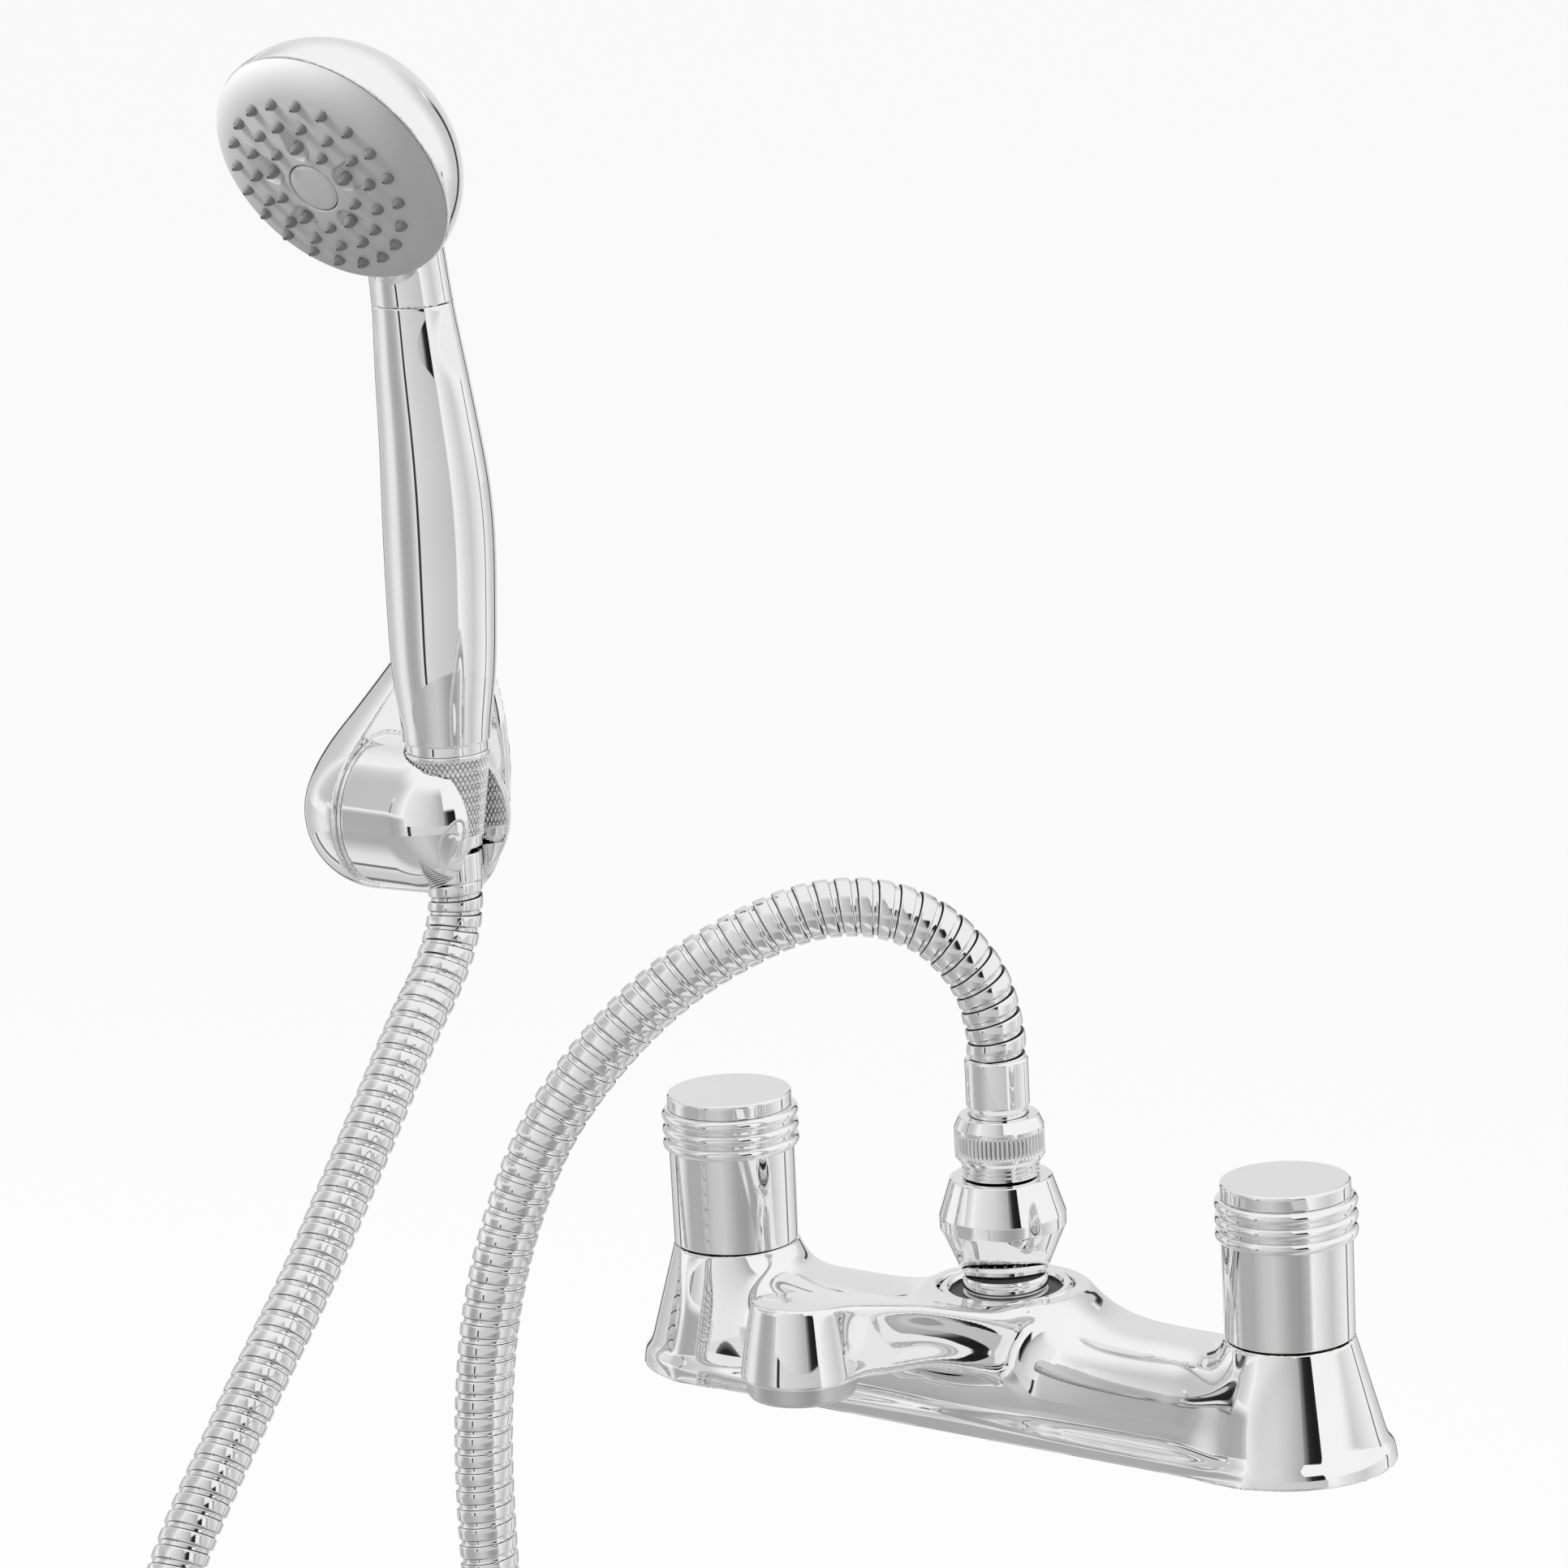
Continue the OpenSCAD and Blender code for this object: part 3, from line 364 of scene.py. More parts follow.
def finish_of(name, low, high, rough, metallic=0.0, *, smear, grain, bump, depth=0.00004):
    """Colour and roughness drift with a broad noise, and a fine grain raises the surface."""
    mat = bpy.data.materials.new(name)
    mat.use_nodes = True
    tree = mat.node_tree
    shader = tree.nodes["Principled BSDF"]
    shader.inputs["Metallic"].default_value = metallic
    place = tree.nodes.new("ShaderNodeTexCoord")
    drift = add_node(tree, "ShaderNodeTexNoise", Scale=smear, Detail=4.0, Roughness=0.55)
    fine = add_node(tree, "ShaderNodeTexNoise", Scale=grain, Detail=2.0, Roughness=0.5)
    ramp = tree.nodes.new("ShaderNodeValToRGB")
    for element, position, colour in zip(ramp.color_ramp.elements, DRIFT, (low, high)):
        element.position = position
        element.color = (*colour, 1)
    spread = add_node(tree, "ShaderNodeMapRange", From_Min=DRIFT[0], From_Max=DRIFT[1], To_Min=rough[0],
                      To_Max=rough[1])
    relief = add_node(tree, "ShaderNodeBump", Strength=bump, Distance=depth)
    for source, output, target, socket in (
            (place, "Object", drift, "Vector"), (place, "Object", fine, "Vector"),
            (drift, "Fac", ramp, "Fac"), (ramp, "Color", shader, "Base Color"),
            (drift, "Fac", spread, "Value"), (spread, "Result", shader, "Roughness"),
            (fine, "Fac", relief, "Height"), (relief, "Normal", shader, "Normal")):
        tree.links.new(source.outputs[output], target.inputs[socket])
    return mat


def grey(v, warm=0.0):
    """A grey, a little warm where asked."""
    return (v + warm, v, v - warm)


CHROME = finish_of("chrome", grey(0.86), grey(0.90), (0.012, 0.045), 1.0, smear=30, grain=160, bump=0.02,
                   depth=0.00002)
SATIN = finish_of("satin_chrome", grey(0.60), grey(0.66), (0.26, 0.36), 1.0, smear=60, grain=1400, bump=0.12)
HOSE_CHROME = finish_of("hose_chrome", grey(0.80), grey(0.88), (0.03, 0.09), 1.0, smear=80, grain=700,
                        bump=0.04)
# Dark chrome: painted shade in the knurl grooves of the nuts.
KNURL_SHADE = finish_of("knurl_valley_painted_shade", grey(0.28), grey(0.36), (0.2, 0.35), 1.0, smear=80, grain=700, bump=0.05)
# Near-black chrome: painted shade in the hose's slits and in the diverter flange's recess.
RECESS_SHADE = finish_of("recess_painted_shade", grey(0.05), grey(0.09), (0.35, 0.5), 1.0, smear=80, grain=700, bump=0.05)
BRASS = finish_of("brass", (0.66, 0.48, 0.22), (0.78, 0.60, 0.30), (0.22, 0.38), 1.0, smear=90, grain=1200,
                  bump=0.1)
RUBBER = finish_of("rubber", grey(0.018), grey(0.032), (0.55, 0.72), smear=120, grain=2200, bump=0.25)
CERAMIC = finish_of("ceramic", (0.80, 0.78, 0.74), (0.88, 0.86, 0.82), (0.18, 0.3), smear=110, grain=2600,
                    bump=0.06)
WHITE = finish_of("white_plastic", grey(0.74, 0.005), grey(0.82, 0.005), (0.34, 0.46), smear=90, grain=1800,
                  bump=0.08)
GREY = finish_of("grey_plastic", grey(0.60), grey(0.65), (0.40, 0.50), smear=35, grain=2600, bump=0.16,
                 depth=0.00005)
NOZZLE = finish_of("nozzle_rubber", grey(0.22), grey(0.28), (0.42, 0.56), smear=160, grain=2400, bump=0.15)
STEEL = finish_of("steel", grey(0.52), grey(0.62), (0.2, 0.34), 1.0, smear=120, grain=1500, bump=0.12)
FINISHES = {  # by record slot
    "brass": BRASS, "rubber": RUBBER, "ceramic": CERAMIC, "white_plastic": WHITE, "steel": STEEL,
    "chrome": CHROME, "satin_chrome": SATIN, "hose_chrome": HOSE_CHROME, "grey_plastic": GREY,
    "nozzle_rubber": NOZZLE,
}


def turned(name, outline, place, body, slot, *nodes, finish=None, **options):
    """A lathe piece in its slot's finish, fitted to its body and nodes."""
    return fit(lathe(name, outline, place, finish or FINISHES[slot], **options), body, slot, *nodes)


# ---------------- hose
# The points of the route in the part's source, in metres, from the mixer's ferrule to the handset's.
ROUTE = np.array((
    (0, 0, .097), (0, 0, .104), (-.003, -.002, .118), (-.011, -.008, .131), (-.022, -.016, .138),
    (-.035, -.025, .139), (-.048, -.035, .1345), (-.066, -.048, .1225), (-.082, -.060, .105),
    (-.095, -.070, .084), (-.103, -.077, .062), (-.108, -.083, .037), (-.110, -.087, .010),
    (-.110, -.089, -.020), (-.108, -.090, -.065), (-.104, -.092, -.120), (-.100, -.095, -.180),
    (-.097, -.099, -.240), (-.096, -.102, -.282), (-.098, -.105, -.317), (-.109, -.109, -.348),
    (-.132, -.114, -.370), (-.161, -.118, -.378), (-.191, -.122, -.370), (-.214, -.126, -.348),
    (-.225, -.129, -.317), (-.227, -.131, -.282), (-.227, -.133, -.240), (-.224, -.133, -.180),
    (-.218, -.123, -.115), (-.214, -.103, -.058), (-.212, -.071, -.017), (-.212, -.041, .013),
    (-.212, -.018, .039), (-.212, 0, .060), (-.212, .013, .075), (-.212, .023, .085),
    (-.212, .030, .094), (-.212, .034, .1035), (-.212, .035, .113)))
PITCH = 5.0
# One turn of the wound strip, as (share of the pitch, radius): a flat crown, a slit and a low tail.
WIND = ((0, 7.25), (.02, 7.66), (.05, 7.78), (.12, 7.83), (.34, 7.85), (.56, 7.83), (.64, 7.78), (.67, 7.62),
        (.675, 6.75), (.73, 6.75), (.735, 7.04), (.82, 7.07), (.94, 7.04))
SLIT_ROWS = (7, 8, 9)  # the steps of WIND that are the slit's walls and floor, painted dark as shade
HOSE_CREASE = 40
PATH_STEP = 8


def hose_line(steps=60, samples=5001, soften=21):
    """Even samples of the route, with a frame carried along it without twist."""
    p = np.concatenate((2 * ROUTE[:1] - ROUTE[1:2], ROUTE, 2 * ROUTE[-1:] - ROUTE[-2:-1])) / MM
    t = np.linspace(0, 1, steps, endpoint=False)[:, None]
    parts = []
    for i in range(1, len(p) - 2):
        a, b, c, d = p[i - 1], p[i], p[i + 1], p[i + 2]
        parts.append(0.5 * (2 * b + (c - a) * t + (2 * a - 5 * b + 4 * c - d) * t ** 2
                            + (3 * b - a - 3 * c + d) * t ** 3))
    line = np.concatenate(parts + [p[-2:-1]])
    reach = np.concatenate(([0], np.cumsum(np.linalg.norm(np.diff(line, axis=0), axis=1))))
    s = np.linspace(0, reach[-1], samples)
    line = np.stack([np.interp(s, reach, line[:, k]) for k in range(3)], 1)
    way = np.gradient(line, axis=0)
    kernel = np.hanning(2 * soften + 1)
    kernel /= kernel.sum()
    way = np.stack([np.convolve(np.pad(way[:, k], soften, "edge"), kernel, "valid") for k in range(3)], 1)
    way /= np.linalg.norm(way, axis=1, keepdims=True)
    side = np.empty_like(way)
    u = np.cross(way[0], (0, 1, 0))
    for i, w in enumerate(way):
        u = u - w * (u @ w)
        u /= np.linalg.norm(u)
        side[i] = u
    return s, line, side, np.cross(way, side)


def hose_piece(name, data, s0, s1, columns=32):
    """A stretch of wound hose from s0 to s1 mm along the route, with its path and length in metres."""
    s, line, side, over = data
    phases, radii = np.array(WIND).T
    first, last = math.floor(s0 / PITCH) - 1, math.ceil(s1 / PITCH) + 1
    rows = [(k + ph) for k in range(first, last) for ph in phases]
    i, j = np.meshgrid(np.arange(len(rows)), np.arange(columns), indexing="ij")
    place = np.array(rows)[i] + j / columns
    reach = np.clip(place * PITCH, s0, s1)
    phase = (reach / PITCH - j / columns) % 1
    r = np.interp(phase, np.append(phases, 1), np.append(radii, radii[0]))
    turn = TAU * j / columns
    at = [np.stack([np.interp(reach, s, v[:, k]) for k in range(3)], -1) for v in (line, side, over)]
    points = at[0] + r[..., None] * (np.cos(turn)[..., None] * at[1] + np.sin(turn)[..., None] * at[2])
    per = len(phases)
    faces, dark = [], []
    for a in range(len(rows) - 1):
        for b in range(columns):
            # the last column meets the first one a whole turn of the strip further on
            row, col = (a, b + 1) if b + 1 < columns else (a + per, 0)
            if row + 1 >= len(rows):
                continue
            quad = ((a, b), (row, col), (row + 1, col), (a + 1, b))
            beyond_the_cut = len({round(reach[q], 6) for q in quad}) == 1
            if not beyond_the_cut:
                faces.append([q[0] * columns + q[1] for q in quad])
                dark.append(int(a % per in SLIT_ROWS))
    obj = add_mesh(name, points.reshape(-1, 3), faces, HOSE_CHROME, HOSE_CREASE)
    # The slit's faces get a near-black material: painted shade in the slit.
    obj.data.materials.append(RECESS_SHADE)
    obj.data.polygons.foreach_set("material_index", dark)
    bm = bmesh.new()
    bm.from_mesh(obj.data)
    loose = [v for v in bm.verts if not v.link_faces]
    bmesh.ops.delete(bm, geom=loose, context="VERTS")
    rim = [e for e in bm.edges if e.is_boundary]
    bmesh.ops.holes_fill(bm, edges=rim, sides=0)
    bmesh.ops.recalc_face_normals(bm, faces=bm.faces)
    bm.to_mesh(obj.data)
    bm.free()
    obj.data.set_sharp_from_angle(angle=math.radians(HOSE_CREASE))
    inside = (s > s0) & (s < s1)
    ends = [np.array([np.interp(v, s, line[:, k]) for k in range(3)]) for v in (s0, s1)]
    path = np.concatenate((ends[:1], line[inside][::PATH_STEP], ends[1:])) * MM
    return obj, [tuple(q) for q in path.tolist()], (s1 - s0) * MM


def add_hose():
    data = hose_line()
    whole = float(data[0][-1])
    plan = (  # name, from and to in mm, node, the two bodies and where the bend between them starts and ends
        ("hose_by_mixer", 0, 300, "hose_mixer_stretch", "mixer", "diverter",
         (-.110, -.088, -.020), (0, 0, .097)),
        ("hose_hanging_loop", 300, 1130, "hose_loop", "mixer", "cradle",
         (-.131, -.095, -.040), (-.212, -.037, .018)),
        ("hose_by_handset", 1130, whole, "hose_handset_stretch", "cradle", "hose_end",
         (-.212, -.037, .018), (-.212, .035, .113)),
    )
    for name, s0, s1, node, a, b, start, end in plan:
        obj, path, length = hose_piece(name, data, s0, s1)
        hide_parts(node)
        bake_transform(obj)


# ---------------- mixer body
# The spout by its Y: top line, low line, half width, lean and hollow of its sides, fillet of its edges.
SPOUT_TOP = spline(((-106, 56), (-91, 55), (-72, 50.5), (-53, 45), (-28, 36.8), (-16, 34), (4, 32)))
SPOUT_LOW = spline(((-106, 35.2), (-91, 35.2), (-82, 34), (-70, 31), (-57, 28.6), (-46, 25.5), (-35, 21),
                    (-22, 15), (-8, 6), (4, 2)))
SPOUT_HALF = spline(((-106, 13.8), (-91, 13.8), (-70, 13.0), (-50, 13.6), (-34, 15), (-22, 17.5), (4, 19)))
SPOUT_LEAN = spline(((-106, .18), (-91, .18), (-72, .08), (-50, 0), (-30, 0), (4, 0)))
SPOUT_HOLLOW = spline(((-106, 0), (-84, 0), (-72, .9), (-58, 2.0), (-46, 2.2), (-34, 1.4), (-22, .3), (4, 0)))
SPOUT_EDGE = spline(((-106, 2.2), (-88, 2.2), (-70, 4), (-50, 6), (4, 8)))
SPOUT_ROOT = 4
NOSE_POWER = 2.1
BELLY_DEEP, BELLY_HALF, BELLY_END = 1.2, 12, -70
FOOT_R, FOOT_TOP = 26, 4.0
TOWER_R, TOWER_TOP = 25.2, 33.45
TAPER_IN, TAPER_RISE = 8, 29
BRIDGE_HALF, BRIDGE_RISE, BRIDGE_SHOULDER, BRIDGE_POWER = 20.5, 19.4, 9, 2.4
HUMP_TOP, HUMP_WIDE, HUMP_FRONT, HUMP_BACK, HUMP_FALL = 33.4, 22.4, 21.0, 22.6, 12
CASTING_CELL = 0.85


def spout_field(x, y, z):
    """Below zero inside the spout. Ahead of the outlet's centre its sides close in a round nose."""
    back = np.maximum(y, SPOUT_Y)
    top, low = SPOUT_TOP(back), SPOUT_LOW(back)
    mid, tall = (top + low) / 2, (top - low) / 2
    lift = np.clip((z - mid) / tall, -1.2, 1.2)
    half = SPOUT_HALF(back) - SPOUT_LEAN(back) * (z - mid) + SPOUT_HOLLOW(back) * (lift * lift - 0.7)
    ahead = np.minimum(y - SPOUT_Y, 0)
    side = (np.abs(x) ** NOSE_POWER + np.abs(ahead) ** NOSE_POWER) ** (1 / NOSE_POWER) - half
    roof = (z - SPOUT_TOP(y)) * 0.96
    belly = BELLY_DEEP * (1 - np.minimum(np.abs(x) / BELLY_HALF, 1) ** 2) * (back > BELLY_END)
    floor = (low - belly - z) * 0.92
    edge = SPOUT_EDGE(back)
    return smax(smax(smax(side * 0.98, roof, edge), floor, edge), y - SPOUT_ROOT, 5)


def body_field(p):
    """Below zero inside the casting: foot, two towers, bridge, hump and spout, less its bores."""
    x, y, z = p.T
    ax = np.abs(x)
    tap = np.hypot(ax - TAP_X, y)
    middle = np.hypot(x, y)
    tip = np.hypot(x, y - SPOUT_Y)
    spine = np.hypot(np.maximum(ax - TAP_X, 0), y)
    base = smax(spine - FOOT_R, z - FOOT_TOP, 3.6)
    tower = smax((tap - (TOWER_R - (z - FOOT_TOP) * TAPER_IN / TAPER_RISE)) * 0.964, z - TOWER_TOP, 0.7)
    roll = ((np.abs(y) / BRIDGE_HALF) ** BRIDGE_POWER
            + (np.maximum(z - BRIDGE_SHOULDER, 0) / BRIDGE_RISE) ** BRIDGE_POWER) ** (1 / BRIDGE_POWER)
    bridge = (roll - 1) * 19.5 - 0.06 * np.maximum(BRIDGE_SHOULDER - z, 0) ** 2
    bridge = smax(bridge, ax - TAP_X, 4)
    fall = np.clip(HUMP_TOP - z, 0, HUMP_FALL)
    wide, deep = HUMP_WIDE + 1.7 * fall, np.where(y > 0, HUMP_BACK, HUMP_FRONT)
    hump = (np.sqrt((x / wide) ** 2 + (y / deep) ** 2) - 1) * 12.5
    hump = smax(hump, z - HUMP_TOP, 1.6)
    d = smin(tower, bridge, 12)
    d = smin(d, base, 5)
    d = smin(d, hump, 9)
    d = smin(d, spout_field(x, y, z), 8)
    d = smax(d, -z, 1.0)
    ring_seat = np.minimum(18.4 - middle, z - 32.0)
    d = smax(d, ring_seat, 0.7)
    return np.maximum.reduce((
        d,
        np.minimum(12.06 - tap, 13 - z),  # inlet threads
        6.0 - tap,  # water ways
        np.minimum(10.2 - tap, z - 17),  # valve pockets
        np.minimum(np.minimum(21.06 - tap, tap - 14.06), 1.5 - z),  # deck seals' grooves
        np.minimum(9.5 - middle, z - 12),  # diverter's chamber
        np.minimum(11.6 - middle, z - 26),  # diverter's bush
        np.minimum(11.9 - tip, 45 - z),  # spout's outlet
    ))


def add_body():
    fit(cast("mixer_casting", body_field, (-118.3, -108.4, -1.2), (118.3, 28.3, 58.2), CASTING_CELL, CHROME),
        "mixer", "chrome", "mixer_body", "mixer_spout")
    turned("spout_ring", rounded((
        (9.55, 30.5, .4), (13.4, 30.5, .5), (14.1, 31.6, .5), (14.1, 36.9), (11.75, 36.9), (11.75, 42.4),
        (9.55, 42.4))), stand(0, SPOUT_Y), "mixer", "satin_chrome", "outlet_ring")
    flange = turned("diverter_ring", rounded((
        (11.65, 32.02), (18.0, 32.02), (18.0, 33.1, .35), (17.2, 34.0, .5), (15.7, 34.0, .5),
        (15.0, 33.2, .3), (14.8, 32.3, .2), (11.65, 32.25))),
        stand(0, 0), "mixer", "chrome", "diverter_flange")
    # Painted shade inside the flange's recess, under the knob.
    darken(flange, lambda x, y, z: (np.hypot(x, y) < 14.95) & (z > 32.1), RECESS_SHADE)
    turned("diverter_guide", rounded((
        (6.56, 26.0), (11.5, 26.0), (11.5, 32.6, .3), (10.6, 33.0, .3), (6.9, 33.0, .3), (6.56, 32.5))),
        stand(0, 0), "mixer", "satin_chrome", "diverter_bush")


# ---------------- taps
BARREL_R, BARREL_WALL = 17.0, 14.7
BARREL_FOOT, BARREL_TOP = 33.95, 71.69
BEAD_R, BEAD_HEIGHTS, BEAD_STEPS = 1.65, (62.05, 66.05, 70.05), 14


def add_tap(side, x):
    """A handle's barrel with three beads near its top, and the cap pressed into it."""
    barrel = rounded(((BARREL_WALL, BARREL_FOOT, .3), (BARREL_R, BARREL_FOOT, .5), (BARREL_R, BARREL_TOP),
                      (BARREL_WALL, BARREL_TOP)))[:-2]
    for centre in BEAD_HEIGHTS:
        for k in range(BEAD_STEPS + 1):
            a = math.radians(-84 + 168 * k / BEAD_STEPS)
            barrel.append((BARREL_R + BEAD_R * math.cos(a), centre + BEAD_R * math.sin(a)))
    barrel += [
        (16.9, BARREL_TOP), (9.06, BARREL_TOP), (9.06, 59.2), (2.0, 59.2), (2.0, 57.1), (4.06, 57.1),
        (4.06, 46.5), (8.0, 46.5), (8.0, 57.1), (BARREL_WALL, 57.1)]
    turned(side + "_barrel", barrel, stand(x, 0), side + "_tap", "chrome", side + "_handle", angle=40)
    turned(side + "_top", rounded((
        (0, 67.75), (8.98, 67.75, .3), (8.98, 71.72), (16.7, 71.72, .25), (BARREL_R, 72.1, .25),
        (BARREL_R, 75.8, .75), (0, 75.8))), stand(x, 0), side + "_tap", "chrome", side + "_cap")


# ---------------- diverter and hose fittings
THREAD_FOOT, THREAD_PITCH, THREAD_TURNS = 64.6, 1.2, 9
NUT_R, NUT_KNURLS = 12.0, 60
KNURL_DEEP = 0.42


def union_knurl(r, z, t):
    """Upright grooves round the band of the hose's nut."""
    outside = band(z, 71.2, 77.3, 0.5) * (r > 11.5)
    groove = np.clip((zigzag(t / TAU * NUT_KNURLS) - 0.42) / 0.4, 0, 1)
    return r - KNURL_DEEP * outside * groove, z


# The groove bottoms of the union nut's knurl, where shade is painted.
def union_groove_shade(x, y, z):
    r = np.hypot(x, y)
    return (r > 11.2) & (r < 11.72) & (np.abs(z - 74.2) < 2.7)


def add_diverter():
    turned("diverter_grip", rounded((
        (6.56, 33.2), (10.7, 33.2, .5), (11.3, 34.2, .4), (11.3, 36.6, .4), (11.0, 37.3, .4),
        (16.95, 51.0, 1.2), (16.95, 54.3, 1.2), (13.7, 64.2, .5), (13.1, 64.5, .3), (6.56, 64.5))),
        stand(0, 0), "diverter", "chrome", "diverter_knob")
    thread = []
    for k in range(THREAD_TURNS):
        z = THREAD_FOOT + THREAD_PITCH * k
        thread += [(9.7, z), (10.45, z + .35), (10.45, z + .6), (9.7, z + .95)]
    plug = [(4.5, 12.5), (9.2, 12.5), (9.2, 13.3), (7.9, 13.3), (7.9, 14.7), (9.2, 14.7), (9.2, 15.5)]
    turned("diverter_thread_stem",
           plug + [(6.48, 15.5), (6.48, 64.52)] + thread + [(9.7, 75.45), (4.5, 75.45)],
           stand(0, 0), "diverter", "brass", "diverter_stem", finish=CHROME, turns=96)
    foot = rounded(((10.56, 69.0), (11.1, 69.0, .3), (NUT_R, 70.3, .4), (NUT_R, 70.8)))
    grip = [(NUT_R, z) for z in (71.15, 71.4, 71.75, 72.5, 74.2, 76.0, 76.8, 77.1, 77.35)]
    shoulder = rounded(((NUT_R, 77.6), (NUT_R, 78.4, .5), (10.6, 81.4, .6), (7.8, 81.4, .2)))
    union = turned("hose_union_nut", foot + grip + shoulder + [(7.8, 79.3), (10.56, 79.3)],
                   stand(0, 0), "diverter", "chrome", "hose_nut", turns=480, relief=union_knurl)
    # Painted shade in the knurl's grooves.
    darken(union, union_groove_shade, KNURL_SHADE)
    turned("hose_start_sleeve", rounded((
        (4.6, 77.35), (10.3, 77.35), (10.3, 79.25), (7.68, 79.25), (7.68, 82.6, .4), (8.5, 84.2, .8),
        (8.5, 91.0), (8.52, 96.4, .5), (8.1, 97.0, .3), (4.6, 97.0))),
        stand(0, 0), "diverter", "chrome", "mixer_ferrule")


# ---------------- handset
AXIS_Y = spline(((150, 34.8), (189, 36.1), (226, 36.7), (262, 33.3), (280, 31.4), (290, 30.2)))
GRIP_R = spline(((148, 12.2), (154, 12.5), (172, 14.6), (189, 15.5), (207, 15.9), (226, 15.5), (245, 14.2),
                 (262, 12.95), (280, 11.5), (290, 11.2)))
GRIP_FOOT, GRIP_TOP, GRIP_EDGE = 154.02, 279.99, .45
CONE_FOOT, CONE_TOP = 123, 151
CONE_KNURLS, KNURL_RISE = 48, 2.6


def taper(z, foot):
    """Radius of the cradle's taper at a height, from the radius at the cone nut's foot."""
    return foot + (z - CONE_FOOT) * 3.8 / 28


def loft(name, stations, material, turns=128):
    """Round sections (z, radius) on the grip's bowed axis, closed at both ends."""
    t = TAU * np.arange(turns) / turns
    points = []
    for z, r in stations:
        y = float(AXIS_Y(np.array(z)))
        points.append(np.stack((HANDSET[0] + r * np.cos(t), y + r * np.sin(t), np.full(turns, z)), 1))
    return add_mesh(name, np.concatenate(points), tube_faces(len(stations), turns), material)


def cone_knurl(r, z, t):
    """Two crossed sets of grooves round the cone nut."""
    outside = band(z, 126.2, 149.9, 0.6) * (r > 8.0 + (z - CONE_FOOT) * .13)
    a = zigzag(t / TAU * CONE_KNURLS + z / KNURL_RISE)
    b = zigzag(t / TAU * CONE_KNURLS - z / KNURL_RISE)
    return r - KNURL_DEEP * outside * (1 - np.minimum(np.minimum(a, b) * 1.9, 1)), z


# The groove bottoms of the cone nut's knurl, where shade is painted.
def cone_groove_shade(x, y, z):
    r = np.hypot(x - HANDSET[0], y - HANDSET[1])
    return (np.abs(taper(z, 8.06) - r) < 0.1) & (z > 126.5) & (z < 149.6)


def add_grip():
    foot_r = float(GRIP_R(154.5))
    stations = [(GRIP_FOOT, 11.0), (GRIP_FOOT, foot_r - GRIP_EDGE)]
    for k in range(6):
        a = math.radians(90 * k / 5)
        stations.append((GRIP_FOOT + GRIP_EDGE * (1 - math.cos(a)), foot_r - GRIP_EDGE * (1 - math.sin(a))))
    for z in np.linspace(154.9, 279.5, 122):
        stations.append((float(z), float(GRIP_R(z))))
    for z, station, inset in ((279.8, 279.8, .02), (279.93, 279.9, .07), (GRIP_TOP, 279.9, .18)):
        stations.append((z, float(GRIP_R(station)) - inset))
    stations.append((GRIP_TOP, 8.5))
    fit(loft("handset_grip", stations, CHROME), "handset", "chrome", "handset_handle")
    turned("handset_collar", rounded((
        (10.35, 151.05), (11.5, 151.05, .2), (11.8, 151.4, .2), (11.8, 153.7, .15), (11.6, 153.98),
        (10.35, 153.98))), stand(*HANDSET), "handset", "chrome", "inlet_collar")
    cone = [(taper(z, 8.4), z) for z in np.linspace(124, 150.4, 90)]
    nut = [(5.6, 123.02), (7.9, 123.02), (8.2, 123.1), (8.4, 123.4)] + cone + [
        (12.1, 150.75), (11.95, 150.95), (11.6, 151.0), (10.3, 151.0), (10.3, 140.0), (8.15, 140.0),
        (8.15, 137.4), (5.6, 137.4)]
    cone_nut = turned("handset_cone_nut", nut, stand(*HANDSET), "handset", "chrome", "cone_nut",
                      turns=384, relief=cone_knurl, angle=60)
    # Painted shade in the knurl's grooves.
    darken(cone_nut, cone_groove_shade, KNURL_SHADE)
    turned("hose_end_sleeve", rounded((
        (4.6, 113.0), (7.6, 113.0, .3), (8.0, 113.6, .4), (8.0, 121.4, .5), (5.5, 122.0), (5.5, 137.5),
        (8.0, 137.5), (8.0, 139.9), (4.6, 139.9))), stand(*HANDSET), "hose_end", "chrome", "handset_ferrule")


# ---------------- spray head
HEAD_R, HEAD_DEEP, HEAD_BACK = 37.3, 32, 0.12  # the dome stops just behind the spray face's plane
NECK_FOOT, NECK_TOP, NECK_Y, NECK_R = 280, 324, 31.4, 11.5
NECK_LEAN, NECK_BEND = 0.115, 0.0001
PLATE_POCKET_R, PLATE_POCKET_DEEP = 33.9, 4.5
SCOOPS = [math.radians(17 + 72 * k) for k in range(5)]
SCOOP_R, SCOOP_CENTRE, SCOOP_END, SCOOP_DEEP, SCOOP_WALL = 4.25, 13.5, 24.5, 1.25, 0.95
NOZZLE_RINGS = ((20, 27.03, 8), (15, 20.27, 5.4), (10, 13.5, 17))  # count, radius, degrees of the first
NOZZLE_SIDES = 20
# A nozzle's radius and its height above the crown, from its root up and a little way down its bore.
NOZZLE_SHAPE = (
    (1.6, -3.0), (1.66, -.25), (1.68, .1), (1.64, .5), (1.54, .95), (1.36, 1.4), (1.12, 1.72), (.86, 1.9),
    (.72, 1.98), (.70, 2.1), (.68, 2.4), (.60, 2.52), (.42, 2.55), (.33, 2.5), (.32, 1.2))


